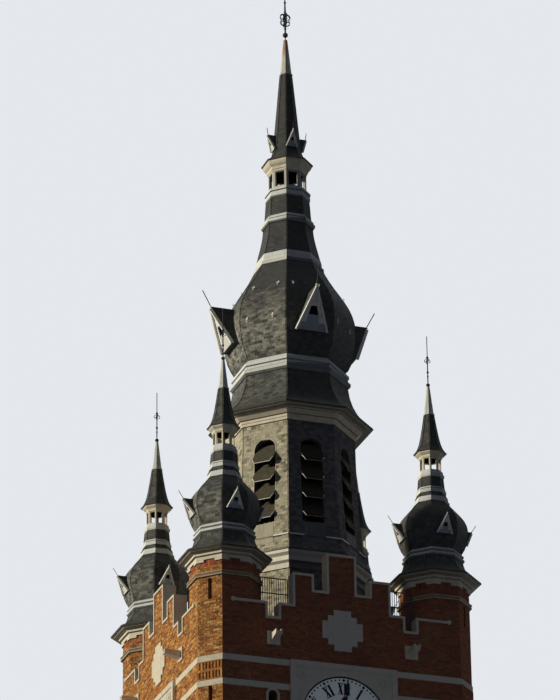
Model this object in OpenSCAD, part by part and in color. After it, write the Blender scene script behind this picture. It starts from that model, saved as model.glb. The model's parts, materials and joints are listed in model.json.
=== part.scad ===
// Head of a town hall clock tower: a square brick clock storey with octagonal
// corner turrets, stepped gables, a slated octagonal belfry and onion roofs.
// Origin at the centre of the base, +Z up, front face towards -Y.

/* [Tower] */
// Distance between the axes of two neighbouring corner turrets
turret_spacing = 7200; // [6600:50:8400]
// Width of a turret shaft across its flats
shaft_w = 2090; // [1800:10:2300]
// Thickness of the turret shaft walls
shaft_wall = 320; // [200:10:420]
// Thickness of the main walls
wall_t = 600; // [450:10:800]
// Thickness of the parapet walls
parapet_t = 360; // [240:10:440]
// Height of the turret eaves above the base
turret_eave_z = 8350; // [8150:10:8900]
// Height of the eaves cornices of the turrets
turret_cornice_h = 270; // [230:10:310]
// Drop from the turret eaves to the foot of the string courses
string_drop = 850; // [780:10:900]
// Top of the clock room floor above the base
room_floor_z = 1160; // [600:10:1600]
// Drop of the roof walk below the sills of the rain slots
deck_drop = 30; // [10:5:200]
// Thickness of the floor and the roof walk
slab_t = 220; // [150:10:300]

/* [Parapet] */
// Top of the low shoulders of the coping
shoulder_z = 6740; // [6600:10:6900]
// Depth of the rain slots below the shoulders
slot_depth = 490; // [200:10:500]
// Rise of the notches beside the middle merlon above the shoulders
notch_rise = 560; // [400:10:700]
// Rise of the side merlons above the shoulders
merlon_rise = 1095; // [900:10:1250]
// Rise of the middle merlon above the shoulders
middle_rise = 1870; // [1600:10:2200]
// Half the width of the middle merlon
middle_half = 507; // [400:5:600]
// Inner edge of the side merlons from the middle of the face
merlon_in = 946; // [850:5:1100]
// Outer edge of the side merlons from the middle of the face
merlon_out = 1665; // [1500:5:1800]
// Middle of the rain slots from the middle of the face
slot_x = 2335; // [2250:5:2450]
// Width of the rain slots
slot_w = 380; // [300:10:440]
// Thickness of the coping stones
coping_t = 75; // [60:5:100]
// Overhang of the coping past the wall faces
coping_over = 50; // [30:5:80]
// Rise of the railings above the shoulders
rail_rise = 980; // [850:10:1100]
// Half the width of the stepped panels
stepped_half = 685; // [600:5:700]
// Drop from the shoulders to the middle of the stepped panels
stepped_drop = 735; // [720:5:780]

/* [Clock] */
// Height of the clock centres above the base
clock_z = 3000; // [2900:10:3100]
// Width of the stone clock panels
panel_w = 3600; // [3400:10:3800]
// Height of the stone clock panels
panel_h = 3680; // [3500:10:3800]
// Rise from the clock centres to the inner stone bands
inner_band_rise = 820; // [780:10:900]
// Projection of the clock panels from the wall
panel_t = 90; // [60:5:140]
// Diameter of the dials
dial_d = 2910; // [2850:10:3000]
// Thickness of the dials
dial_t = 50; // [30:5:60]
// Length of the minute hands from the centre to the tip
minute_len = 1400; // [1200:10:1410]
// Length of the hour hands from the centre to the tip
hour_len = 860; // [600:10:950]
// Thickness of the hands
hand_t = 12; // [8:1:20]
// Running gap between dial, hour hand and minute hand
hand_gap = 14; // [8:1:25]
// Radius of the minute hand arbors
arbor_r = 20; // [14:1:26]
// Wall of the hour hand pipes
pipe_wall = 14; // [8:1:20]
// Time shown by the hands, in minutes past twelve
shown_minutes = 1; // [0:1:59]

/* [Belfry] */
// Corner radius of the drum wall at its top
drum_r = 2150; // [2050:10:2250]
// Corner radius of the lower drum storey
drum_base_r = 2300; // [2150:10:2350]
// Corner radius of the hollow inside the drum
drum_in_r = 1880; // [1700:10:1950]
// Underside of the lower cornice above the base
lower_cornice_z = 9020; // [8900:10:9200]
// Height of the lower cornice
lower_cornice_h = 580; // [450:10:650]
// Width of the louvred belfry windows
louvre_w = 780; // [600:10:860]
// Height of the drum from its foot to the main eaves
drum_h = 5180; // [5120:10:5600]
// Height of the main cornice under those eaves
cornice_h = 400; // [360:10:480]
// Height of the flared foot of the drum, up to its moulding
drum_foot_h = 560; // [480:10:600]
// Rise of the window sills above that moulding
louvre_rise = 560; // [450:10:600]
// Height of the louvred windows from sill to crown
louvre_h = 3090; // [2900:10:3200]
// Number of sloping boards in each louvred window
louvre_count = 4; // [3:1:5]
// Rise from one louvre board to the next
louvre_pitch = 665; // [560:5:680]
// Thickness of the louvre boards
louvre_t = 50; // [30:5:70]

/* [Main roof] */
// Height of the flared skirt from the main eaves to the neck
skirt_h = 1550; // [1400:10:1700]
// Height of the bulb
bulb_h = 3820; // [3600:10:4200]
// Height of the slated cone between the bulb and the metal ring
upper_cone_h = 1230; // [1100:10:1500]
// Corner radius of the metal ring under the lantern
ring_r = 870; // [850:5:890]
// Height of the metal ring under the lantern
ring_h = 330; // [300:10:380]
// Height of the slated cone between the metal ring and the lantern sill
lantern_cone_h = 700; // [600:10:800]
// Height of the open lantern between its sill and its cornice
lantern_h = 650; // [550:10:800]
// Height of the lantern cornice
lantern_cornice_h = 370; // [330:10:420]
// Height of the slated spire
spire_h = 3590; // [3200:10:4200]
// Height of the metal cone on the spire
cap_h = 1430; // [1200:10:1700]
// Length of the rod above the metal cone
rod_h = 1750; // [1500:10:2100]
// Corner radius of the main eaves
main_eave_r = 2784; // [2600:10:2900]
// Corner radius at the neck below the bulb
neck_r = 1950; // [1850:10:2000]
// Corner radius at the widest part of the bulb
bulb_r = 2260; // [2150:10:2350]
// Corner radius at the top of the bulb
bulb_top_r = 1130; // [1050:10:1200]
// Corner radius of the lantern posts
lantern_r = 660; // [600:10:700]
// Corner radius of the lantern eaves
lantern_eave_r = 900; // [850:10:950]
// Corner radius of the spire under the metal cone
spire_top_r = 215; // [180:5:260]
// Thickness of the boarded and slated roof shells
roof_t = 120; // [80:5:160]
// Thickness of the boards of the gablets
gablet_t = 40; // [25:5:50]
// Width of the spire gablets at their foot
spire_gablet_w = 400; // [340:10:440]
// Height of the spire gablets
spire_gablet_h = 580; // [500:10:640]
// Width of the large gablets at their foot
gablet_w = 1120; // [900:10:1250]
// Height of the large gablets
gablet_h = 1450; // [1200:10:1600]
// How far the apex of a large gablet leans out past its foot
gablet_lean = 600; // [300:10:700]

/* [Turret roofs] */
// Corner radius of the turret eaves
turret_eave_r = 1550; // [1450:10:1650]
// Corner radius at the widest part of the turret bulbs
turret_bulb_r = 1165; // [1100:5:1200]
// Corner radius at the neck below the turret bulbs
turret_neck_r = 960; // [900:5:1000]
// Corner radius of the turret bulbs at their top
turret_top_r = 570; // [545:5:600]
// Corner radius of the small spires under their metal cones
turret_spire_top_r = 170; // [150:5:190]
// Corner radius of the turret lantern posts
turret_lantern_r = 355; // [320:5:380]
// Corner radius of the turret lantern eaves
turret_lantern_eave_r = 550; // [500:5:600]
// Thickness of the turret roof shells
turret_roof_t = 80; // [50:5:100]
// Height of the turret skirts from the eaves to the neck
turret_skirt_h = 750; // [650:10:850]
// Height of the turret bulbs
turret_bulb_h = 1760; // [1600:10:2000]
// Width of the turret gablets at their foot
turret_gablet_w = 540; // [460:10:600]
// Height of the turret gablets
turret_gablet_h = 580; // [500:10:640]
// Height of the small lanterns between sill and cornice
turret_lantern_h = 460; // [400:10:560]
// Height of the small slated spires
turret_spire_h = 1410; // [1200:10:1700]
// Height of the metal cones on the turrets
turret_cap_h = 1050; // [900:10:1200]
// Length of the turret rods
turret_rod_h = 1850; // [1500:10:2100]

/* [Hidden] */
$fn = 48;

// Derived places
half_s = turret_spacing / 2;
shaft_ap = shaft_w / 2;
shaft_r = shaft_ap / cos(22.5);
wall_y = half_s + shaft_ap;
shaft_top = turret_eave_z - turret_cornice_h;
seat = 0.3;
string_out = 70;
string_h = 130;
string_z = turret_eave_z - string_drop;
deck_z = shoulder_z - slot_depth - coping_t - deck_drop;

FACES = [0, 90, 180, 270];
CORNERS = [[-1, -1], [1, -1], [-1, 1], [1, 1]];

slate = "#3b3d38";
zinc = "#c9ccc6";
stone = "#b9b09a";
brick = "#9a5430";
cream = "#e6dfc8";
iron = "#26282c";

// Common shapes

// Upright octagonal prism with flats towards the four faces
module octagon(r, h) {
  rotate(22.5) cylinder(r = r, h = h, $fn = 8);
}

// Octagonal ring with the given section, radii measured at the corners
module octagon_ring(section) {
  rotate(22.5) rotate_extrude($fn = 8) polygon(section);
}

// Repeats a child that is drawn for the front on all four faces
module on_faces() {
  for (a = FACES) rotate(a) children();
}

// Repeats a child on the axes of the four corner turrets
module on_turrets() {
  for (c = CORNERS) translate([c[0] * half_s, c[1] * half_s, 0]) children();
}

// The four turret shafts as solid prisms, to cut pieces that meet them
module shaft_block(z0, z1) {
  on_turrets() translate([0, 0, z0]) octagon(shaft_r, z1 - z0);
}

// Points along a cubic curve, n steps
function curve(a, b, c, d, n) = [
  for (i = [0:n]) let (t = i / n, u = 1 - t)
    a * u * u * u + b * 3 * t * u * u + c * 3 * t * t * u + d * t * t * t
];

// Reversed list
function back(p) = [for (i = [len(p) - 1:-1:0]) p[i]];

// Closed section of a shell: outer line, then the same line moved inwards
function shell(line, t) = concat(line, [for (p = back(line)) [p[0] - t, p[1]]]);

// Point at a share of the way from a to b
function between(a, b, share) = a + (b - a) * share;

// Hollow curve of a skirt, from the eaves up to the neck
function skirt(r0, z0, r1, z1, n) = curve([r0, z0], [between(r1, r0, 0.54), between(z0, z1, 0.13)],
  [between(r1, r0, 0.07), between(z0, z1, 0.5)], [r1, z1], n);

// Outline of a bulb: out to its widest, then in again. The shares of its height are
// those of the two guides of the lower curve, of the widest point and of the upper guides.
function bulb(r0, r_max, r1, z, h, shares, n) = concat(
  curve([r0, z], [between(r0, r_max, 0.6), z + shares[0] * h], [r_max, z + shares[1] * h],
    [r_max, z + shares[2] * h], n[0]),
  curve([r_max, z + shares[2] * h], [r_max, z + shares[3] * h],
    [between(r1, r_max, 0.387), z + shares[4] * h], [r1, z + h], n[1])
);

// Brick clock storey

slot_half = slot_w / 2;
coping_end = half_s + 70;

// Stepped top line of a face, from the middle to the right, moved in by d
function steps(d, x_end) = [
  [middle_half - d, shoulder_z + middle_rise - d],
  [middle_half - d, shoulder_z + notch_rise - d],
  [merlon_in + d, shoulder_z + notch_rise - d],
  [merlon_in + d, shoulder_z + merlon_rise - d],
  [merlon_out - d, shoulder_z + merlon_rise - d],
  [merlon_out - d, shoulder_z - d],
  [slot_x - slot_half - d, shoulder_z - d],
  [slot_x - slot_half - d, shoulder_z - slot_depth - d],
  [slot_x + slot_half + d, shoulder_z - slot_depth - d],
  [slot_x + slot_half + d, shoulder_z - d],
  [x_end, shoulder_z - d]
];

function mirrored(p) = [for (i = [len(p) - 1:-1:0]) [-p[i][0], p[i][1]]];

// Whole stepped line of a face, left to right
function face_line(d, x_end) = concat(mirrored(steps(d, x_end)), steps(d, x_end));

band_h = 200;
band_out = 30;
panel_top = clock_z + panel_h / 2;
panel_bottom = clock_z - panel_h / 2;
inner_band_z = clock_z + inner_band_rise;
side_window_x = 2370;
side_window_w = 300;
side_window_top = inner_band_z - 40;
side_window_h = 1560;
bore_r = arbor_r + pipe_wall + 2 * seat;

// Arched opening, drawn upright around x = 0 and cut along Y
module arched_cut(w, sill, top, depth) {
  spring = top - w / 2;
  translate([-w / 2, -depth / 2, sill]) cube([w, depth, spring - sill]);
  translate([0, 0, spring]) rotate([90, 0, 0]) cylinder(d = w, h = depth, center = true);
}

// One brick wall with its stepped parapet, for the front face
module wall() {
  line = face_line(coping_t, half_s);
  body = concat([[-half_s, 0]], line, [[half_s, 0]]);
  lining = wall_t - parapet_t;
  color(brick) difference() {
    union() {
      translate([0, -wall_y + parapet_t, 0]) rotate([90, 0, 0])
        linear_extrude(parapet_t) polygon(body);
      translate([-half_s, -wall_y + parapet_t, 0])
        cube([2 * half_s, lining, deck_z - slab_t]);
    }
    shaft_block(-10, shoulder_z + 10);
    for (s = [-1, 1]) translate([s * side_window_x, -wall_y, 0])
      arched_cut(side_window_w, side_window_top - side_window_h, side_window_top, 4 * wall_t);
    translate([0, -wall_y, clock_z]) rotate([90, 0, 0])
      cylinder(r = bore_r, h = 4 * wall_t, center = true);
  }
}

module front_wall() { wall(); }
module right_wall() { rotate(90) wall(); }
module back_wall() { rotate(180) wall(); }
module left_wall() { rotate(270) wall(); }

slit_w = 135;
slit_h = 800;
slit_zs = [clock_z + 20, string_z - slit_h - 20];

// Hollow octagonal shaft with slits in the outer diagonal side
module shaft(c) {
  out = atan2(c[1], c[0]);
  color(brick) translate([c[0] * half_s, c[1] * half_s, 0]) difference() {
    octagon(shaft_r, shaft_top);
    translate([0, 0, -1]) octagon(shaft_r - shaft_wall / cos(22.5), shaft_top + 2);
    for (z = slit_zs) rotate(out) translate([shaft_ap - 1.5 * shaft_wall, -slit_w / 2, z])
      cube([2 * shaft_wall, slit_w, slit_h]);
  }
}

module front_left_shaft() { shaft(CORNERS[0]); }
module front_right_shaft() { shaft(CORNERS[1]); }
module back_left_shaft() { shaft(CORNERS[2]); }
module back_right_shaft() { shaft(CORNERS[3]); }

// Stone coping that follows the stepped line and ends in a scroll on the turrets
module parapet_copings() {
  depth = parapet_t + 2 * coping_over;
  scroll_r = coping_t;
  outline = concat(face_line(0, coping_end), back(face_line(coping_t, coping_end)));
  color(stone) on_faces() difference() {
    translate([0, -wall_y + parapet_t + coping_over, 0]) rotate([90, 0, 0]) union() {
      linear_extrude(depth) polygon(outline);
      for (s = [-1, 1]) translate([s * coping_end, shoulder_z - 0.4 * scroll_r, 0])
        cylinder(r = scroll_r, h = depth);
    }
    shaft_block(shoulder_z - 500, shoulder_z + 500);
  }
}

// Stone band round each corner, from one clock panel to the next
module stone_band(z0) {
  end = panel_w / 2;
  inside = wall_y + seat;
  turn = half_s + (shaft_ap + seat) * tan(22.5);
  out = wall_y + band_out;
  out_turn = half_s + (shaft_ap + band_out) * tan(22.5);
  on_faces() translate([0, 0, z0]) linear_extrude(band_h) polygon([
    [-end, -inside], [-turn, -inside], [-inside, -turn], [-inside, -end],
    [-out, -end], [-out, -out_turn], [-out_turn, -out], [-end, -out]
  ]);
}

module upper_stone_bands() {
  color(stone) for (z = [panel_top - band_h, inner_band_z]) stone_band(z);
}

module lower_stone_bands() {
  color(stone) for (z = [panel_bottom, 2 * clock_z - inner_band_z - band_h]) stone_band(z);
}

// Square stone panel with a raised frame, corner roundels and a round hole for the dial
module clock_panels() {
  frame_w = 170;
  frame_out = 40;
  ring_w = 150;
  roundel_r = 190;
  roundel_at = panel_w / 2 - frame_w - roundel_r - 60;
  color(stone) on_faces() translate([0, -wall_y, clock_z]) rotate([90, 0, 0]) difference() {
    union() {
      translate([-panel_w / 2, -panel_h / 2, 0]) cube([panel_w, panel_h, panel_t]);
      difference() {
        translate([-panel_w / 2, -panel_h / 2, 0]) cube([panel_w, panel_h, panel_t + frame_out]);
        translate([-panel_w / 2 + frame_w, -panel_h / 2 + frame_w, panel_t])
          cube([panel_w - 2 * frame_w, panel_h - 2 * frame_w, panel_t]);
      }
      cylinder(d = dial_d + 2 * ring_w, h = panel_t + frame_out, $fn = 96);
      for (x = [-1, 1]) for (y = [-1, 1]) translate([x * roundel_at, y * roundel_at, 0])
        cylinder(r = roundel_r, h = panel_t + frame_out / 2);
    }
    translate([0, 0, -1]) cylinder(d = dial_d + 2 * seat, h = 3 * panel_t, $fn = 96);
  }
}

// Round dials, each bored for the pipe of the hour hand
module clock_dials() {
  color("#e9ebe6") on_faces() translate([0, -wall_y, clock_z]) rotate([90, 0, 0]) difference() {
    cylinder(d = dial_d, h = dial_t, $fn = 96);
    translate([0, 0, -1]) cylinder(r = bore_r, h = dial_t + 2);
  }
}

// Flat clock hand with a boss, a shaft, a spade, a thin tip and a round tail
module hand_plate(len, root_w, tail, boss_r) {
  side = [[root_w / 2, 0], [0.4 * root_w, 0.71 * len], [1.05 * root_w, 0.735 * len],
    [1.35 * root_w, 0.765 * len], [1.1 * root_w, 0.8 * len], [0.42 * root_w, 0.88 * len],
    [0.16 * root_w, 0.93 * len], [0.1 * root_w, len]];
  linear_extrude(hand_t) union() {
    polygon(concat(side, mirrored(side)));
    translate([-root_w / 2, -tail]) square([root_w, tail]);
    translate([0, -tail]) circle(r = root_w);
    circle(r = boss_r);
  }
}

hour_back = dial_t + hand_gap;
minute_back = hour_back + hand_t + hand_gap;
arbor_len = wall_t;

// Minute hand on its arbor, for the front face
module minute_hand() {
  color(iron) translate([0, -wall_y, clock_z]) rotate([90, 0, 0]) rotate(-6 * shown_minutes) union() {
    translate([0, 0, minute_back]) hand_plate(minute_len, 62, 330, 75);
    translate([0, 0, dial_t - arbor_len])
      cylinder(r = arbor_r, h = arbor_len - dial_t + minute_back + hand_t);
  }
}

// Hour hand on its pipe, for the front face
module hour_hand() {
  pipe_len = arbor_len - 60;
  color(iron) translate([0, -wall_y, clock_z]) rotate([90, 0, 0]) rotate(-0.5 * shown_minutes) difference() {
    union() {
      translate([0, 0, hour_back]) hand_plate(hour_len, 80, 200, 95);
      translate([0, 0, dial_t - pipe_len]) cylinder(r = arbor_r + pipe_wall + seat, h = pipe_len + hand_gap);
    }
    translate([0, 0, dial_t - 2 * pipe_len]) cylinder(r = arbor_r + seat, h = 4 * pipe_len);
  }
}

module minute_hand_front() { minute_hand(); }
module minute_hand_right() { rotate(90) minute_hand(); }
module minute_hand_back() { rotate(180) minute_hand(); }
module minute_hand_left() { rotate(270) minute_hand(); }
module hour_hand_front() { hour_hand(); }
module hour_hand_right() { rotate(90) hour_hand(); }
module hour_hand_back() { rotate(180) hour_hand(); }
module hour_hand_left() { rotate(270) hour_hand(); }

// Blank stone panel with stepped corners above each clock
module stepped_panels() {
  half = stepped_half;
  step = 0.285 * half;
  z_mid = shoulder_z - stepped_drop;
  out = 50;
  color(stone) on_faces() translate([0, -wall_y, z_mid]) rotate([90, 0, 0]) linear_extrude(out) union() {
    for (k = [0:2]) square([2 * (half - k * step), 2 * (half - (2 - k) * step)], center = true);
  }
}

// Stone block and tapering trough under each rain slot
module water_spouts() {
  block = 440;
  block_top = shoulder_z - slot_depth - 510;
  out = 60;
  reach = 540;
  color(stone) on_faces() for (s = [-1, 1]) translate([s * slot_x, -wall_y, block_top - block]) {
    translate([-block / 2, -out, 0]) cube([block, out, block]);
    difference() {
      rotate([0, -90, 0]) linear_extrude(0.5 * block, center = true)
        polygon([[0.15 * block, -out], [0.75 * block, -out], [0.75 * block, -out - reach],
          [0.45 * block, -out - reach]]);
      translate([-0.14 * block, -out - reach - 1, 0.62 * block])
        cube([0.28 * block, reach - 40, block]);
    }
  }
}

// Floor of the clock room, between the walls and the shafts
module inner_slab(top) {
  room = wall_y - wall_t;
  color(stone) difference() {
    translate([-room, -room, top - slab_t]) cube([2 * room, 2 * room, slab_t]);
    shaft_block(top - 2 * slab_t, top + slab_t);
  }
}

module clock_room_floor() { inner_slab(room_floor_z); }

// Roof walk: a slab that rests on the walls inside the parapets
module roof_walk() {
  edge = wall_y - parapet_t;
  color("#8d8f8a") difference() {
    translate([-edge, -edge, deck_z - slab_t]) cube([2 * edge, 2 * edge, slab_t]);
    shaft_block(deck_z - 2 * slab_t, deck_z + slab_t);
    translate([0, 0, deck_z - 2 * slab_t]) octagon(drum_in_r - 400, 4 * slab_t);
  }
}

rail_top = shoulder_z + rail_rise;
rail_mid = shoulder_z + 0.47 * rail_rise;
rail_low = deck_z + 150;

// Iron railing across the low part of one parapet
module railing() {
  set_back = parapet_t + coping_over + 40;
  x0 = merlon_out;
  y = -wall_y + set_back;
  bar = 18;
  rail = 30;
  n = 12;
  x1 = half_s - sqrt(2) * (shaft_ap + string_out) + shaft_ap - set_back - rail / 2 - seat;
  for (z = [rail_low, rail_mid, rail_top]) translate([x0, y - rail / 2, z])
    cube([x1 - x0, rail, rail]);
  for (i = [0:n]) translate([x0 + (x1 - x0 - bar) * i / n, y - bar / 2, rail_low + 1])
    cube([bar, bar, rail_top - rail_low]);
  for (x = [x0, x1 - rail]) translate([x, y - rail / 2, deck_z]) cube([rail, rail, rail_top - deck_z]);
}

module parapet_railings() {
  color(iron) on_faces() for (s = [0, 1]) mirror([s, 0, 0]) railing();
}

// Belfry

drum_foot_z = lower_cornice_z + lower_cornice_h;
drum_foot_r = drum_base_r + 320;
moulding_z = drum_foot_z + drum_foot_h;
louvre_sill_z = moulding_z + louvre_rise;
main_eave_z = drum_foot_z + drum_h;
apron_top_r = drum_base_r + 100;
drum_low_r = drum_base_r + 30;

module drum_base() {
  color(slate) difference() {
    translate([0, 0, deck_z]) octagon(drum_base_r, drum_foot_z - deck_z);
    translate([0, 0, deck_z - 1]) octagon(drum_in_r, drum_foot_z - deck_z + 2);
  }
}

module lower_cornice() {
  h = lower_cornice_h;
  z = lower_cornice_z;
  color(cream) octagon_ring([
    [drum_base_r, z], [drum_base_r + 60, z], [drum_base_r + 60, z + 0.3 * h],
    [drum_base_r + 160, z + 0.42 * h], [drum_base_r + 160, z + 0.68 * h],
    [drum_foot_r - 30, z + 0.82 * h], [drum_foot_r - 30, z + h], [drum_base_r, z + h]
  ]);
}

louvre_top_z = louvre_sill_z + louvre_h;

// Slated drum: flared foot, moulding and a wall that leans in, with eight arched windows
module belfry_drum() {
  color(slate) difference() {
    octagon_ring(concat(
      [[drum_foot_r, drum_foot_z], [drum_foot_r, drum_foot_z + 40]],
      curve([drum_foot_r, drum_foot_z + 40], [between(apron_top_r, drum_foot_r, 0.55), drum_foot_z + 160],
        [apron_top_r, between(drum_foot_z, moulding_z, 0.54)], [apron_top_r, moulding_z], 4),
      [[apron_top_r + 50, moulding_z + 10], [apron_top_r + 50, moulding_z + 70]],
      curve([drum_low_r + 30, moulding_z + 90], [drum_low_r - 60, between(moulding_z, main_eave_z, 0.23)],
        [drum_r + 20, between(moulding_z, main_eave_z, 0.49)], [drum_r, main_eave_z - cornice_h], 5),
      [[drum_r, main_eave_z], [drum_in_r, main_eave_z], [drum_in_r, drum_foot_z]]
    ));
    for (a = [0:45:315]) rotate(a) translate([0, -drum_r, 0])
      arched_cut(louvre_w, louvre_sill_z, louvre_top_z, drum_in_r);
  }
}

// Steep sloping boards in each belfry window, their lower corners cut off
module louvre_boards() {
  drop = 640;
  reach = 410;
  thick = louvre_t * norm([drop, reach]) / reach;
  back_y = -drum_in_r * cos(22.5) - 80;
  first = louvre_sill_z + 180;
  side = louvre_w / 2 - seat;
  corner = 110;
  front = [[-side, drop + thick], [-side, 1.5 * corner], [corner - side, 0], [side - corner, 0],
    [side, 1.5 * corner], [side, drop + thick]];
  color(slate) for (a = [0:45:315]) rotate(a) for (k = [0:louvre_count - 1]) intersection() {
    translate([0, back_y, first + k * louvre_pitch]) rotate([0, -90, 0])
      linear_extrude(louvre_w, center = true)
        polygon([[drop, 0], [drop + thick, 0], [thick, -reach], [0, -reach]]);
    translate([0, back_y, first + k * louvre_pitch]) rotate([90, 0, 0])
      linear_extrude(reach) polygon(front);
    translate([0, back_y - reach / 2, 0])
      arched_cut(2 * side, louvre_sill_z, louvre_top_z - seat, 2 * reach);
  }
}

// Main roof

module main_cornice() {
  r = drum_r;
  z = main_eave_z;
  color(cream) octagon_ring([
    [r, z - cornice_h], [r + 45, z - cornice_h], [r + 45, z - 315], [r + 75, z - 300], [r + 75, z - 215],
    [r + 140, z - 200], [r + 230, z - 140], [r + 290, z - 85], [r + 345, z - 80], [r + 345, z - 30],
    [main_eave_r - 90, z - 30], [main_eave_r - 90, z], [r, z]
  ]);
}

neck_z = main_eave_z + skirt_h;
neck_h = 580;
bulb_z = neck_z + neck_h;
bulb_top_z = bulb_z + bulb_h;
skirt_lip = 60;
skirt_line = skirt(main_eave_r, main_eave_z + skirt_lip, neck_r, neck_z, 6);

// Shell of a skirt: flat soffit at the eaves, then the curve and its inside
function skirt_shell(line, z, t) = concat([[line[0][0], z]], line,
  [for (i = [len(line) - 1:-1:1]) [line[i][0] - t, line[i][1]]], [[line[1][0] - t, z]]);

module main_skirt() {
  color(slate) octagon_ring(skirt_shell(skirt_line, main_eave_z, roof_t));
}

module neck_band() {
  r = neck_r;
  z = neck_z;
  h = neck_h;
  color(zinc) octagon_ring([
    [r - roof_t, z], [r + 40, z], [r + 110, z + 0.12 * h], [r + 110, z + 0.3 * h],
    [r + 20, z + 0.42 * h], [r + 20, z + 0.55 * h], [r + 60, z + 0.62 * h], [r + 60, z + 0.78 * h],
    [r - 60, z + h], [r - roof_t, z + h]
  ]);
}

bulb_line = bulb(neck_r - 60, bulb_r, bulb_top_r + 70, bulb_z, bulb_h,
  [0.08, 0.21, 0.38, 0.65, 0.76], [5, 8]);

// Framed shell of a bulb: the outline outside, straight rafters inside
function bulb_shell(line, t, z, h) = let (n = len(line), foot = line[0], top = line[n - 1])
  concat(line, [[top[0] - t, top[1]], [foot[0], z + 0.68 * h], [foot[0], z + 0.24 * h], [foot[0] - t, z]]);

module main_bulb() {
  color(slate) octagon_ring(bulb_shell(bulb_line, roof_t, bulb_z, bulb_h));
}

band3_h = 430;
upper_roof_z = bulb_top_z + band3_h;

module bulb_top_band() {
  r = bulb_top_r;
  z = bulb_top_z;
  color(zinc) octagon_ring([
    [r - 60, z], [r + 90, z], [r + 85, z + 120], [r + 30, z + 150], [r + 10, z + 250],
    [r + 20, z + 280], [r - 20, z + band3_h], [r - 60, z + band3_h]
  ]);
}

ring_z = upper_roof_z + upper_cone_h;
sill_z = ring_z + ring_h + lantern_cone_h;
sill_h = 390;
lantern_z = sill_z + sill_h;
lantern_top = lantern_z + lantern_h;
spire_z = lantern_top + lantern_cornice_h;

// Slate pieces above and below the upper metal ring
module upper_roof() {
  r = bulb_top_r - 40;
  color(slate) {
    octagon_ring(shell(curve([r, upper_roof_z], [r - 90, between(upper_roof_z, ring_z, 0.35)],
      [ring_r, between(upper_roof_z, ring_z, 0.62)], [ring_r - 20, ring_z], 4), roof_t));
    octagon_ring(shell([[ring_r - 70, ring_z + ring_h], [lantern_r + 90, sill_z]], roof_t));
  }
}

module roof_ring() {
  z = ring_z;
  r = ring_r;
  color(zinc) octagon_ring([
    [r - 180, z], [r + 30, z], [r + 70, z + 50], [r + 70, z + 150], [r - 20, z + 165], [r - 20, z + 185],
    [r + 20, z + 200], [r + 20, z + 255], [r - 70, z + ring_h], [r - 180, z + ring_h]
  ]);
}

module lantern_sill() {
  z = sill_z;
  r = lantern_r;
  color(cream) octagon_ring([
    [r - 30, z], [r + 100, z], [r + 125, z + 50], [r + 125, z + 190], [r + 80, z + 205], [r + 80, z + 230],
    [r + 140, z + 250], [r + 140, z + 330], [r + 20, z + sill_h], [r - 100, z + sill_h],
    [r - 100, z + sill_h - 60]
  ]);
}

// Open lantern: a post on each corner, on a low wall
module main_lantern() {
  post = 80;
  wall = 110;
  low_h = 60;
  head_h = 30;
  half = lantern_r * sin(22.5) - post;
  h = lantern_h;
  color(cream) difference() {
    translate([0, 0, lantern_z + seat]) octagon(lantern_r, h - 2 * seat);
    translate([0, 0, lantern_z - 1]) octagon(lantern_r - wall, h + 2);
    for (a = [0:45:315]) rotate(a) translate([-half, -lantern_r, lantern_z + low_h])
      cube([2 * half, lantern_r, h - low_h - head_h]);
  }
}

module lantern_cornice() {
  r = lantern_r;
  z = lantern_top;
  e = lantern_eave_r;
  color(cream) octagon_ring([
    [r - 110, z], [r + 20, z], [r + 20, z + 50], [r + 50, z + 65], [r + 60, z + 150], [r + 150, z + 220],
    [e - 50, z + 290], [e - 50, spire_z], [r - 110, spire_z]
  ]);
}

spire_top_z = spire_z + spire_h;
spire_knee = [480, spire_z + 0.173 * spire_h];
spire_line = concat(curve([lantern_eave_r, spire_z + 40], [lantern_eave_r - 230, spire_z + 110],
  [spire_knee[0] + 50, spire_z + 350], spire_knee, 4), [[spire_top_r, spire_top_z]]);

module main_spire() {
  color(slate) octagon_ring(concat([[lantern_eave_r, spire_z]], spire_line,
    [[spire_top_r - 60, spire_top_z], [spire_knee[0] - 60, spire_knee[1]], [lantern_r - 110, spire_z]]));
}

// Scroll of flat iron in a plane through the rod
module scroll(r, t) {
  rotate([90, 0, 0]) rotate_extrude(angle = 270) translate([r, 0]) square([t, t], center = true);
}

// Metal cone, ball and a rod that runs down through the cone, with wrought scrolls
module spire_finial() {
  r = spire_top_r;
  cone_top = spire_top_z + cap_h;
  ball_z = cone_top + 0.12 * rod_h;
  scroll_z = cone_top + 0.51 * rod_h;
  color(zinc) {
    octagon_ring([[0, spire_top_z], [r + 20, spire_top_z], [r + 20, spire_top_z + 60],
      [r - 15, spire_top_z + 90], [0.33 * r, cone_top], [0, cone_top]]);
  }
  color(iron) {
    translate([0, 0, spire_top_z + 60]) cylinder(r = 18, h = cap_h + rod_h - 60);
    translate([0, 0, ball_z]) sphere(r = 95);
    translate([0, 0, cone_top + 0.87 * rod_h]) sphere(r = 45);
    for (a = FACES) rotate(a) for (s = [0, 1])
      translate([90, 0, scroll_z]) mirror([0, 0, s]) translate([0, 0, 85]) scroll(75, 14);
  }
}

// Triangular block of a dormer, its front leaning from foot to apex; inset moves all faces inwards
module gablet_block(half_w, foot, apex, back_y, inset) {
  lean = atan2(apex[0] - foot[0], apex[1] - foot[1]);
  run = norm([half_w, apex[1] - foot[1]]);
  low = foot[1] + inset;
  top = apex[1] - inset * run / half_w;
  half = half_w * (top - low) / (apex[1] - foot[1]);
  size = 2 * apex[0];
  difference() {
    translate([0, -back_y, 0]) rotate([90, 0, 0]) linear_extrude(apex[0] - back_y)
      polygon([[-half, low], [half, low], [0, top]]);
    translate([0, -foot[0], foot[1]]) rotate([lean, 0, 0]) translate([-size, inset - size, -size])
      cube([2 * size, size, 2 * size]);
  }
}

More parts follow.
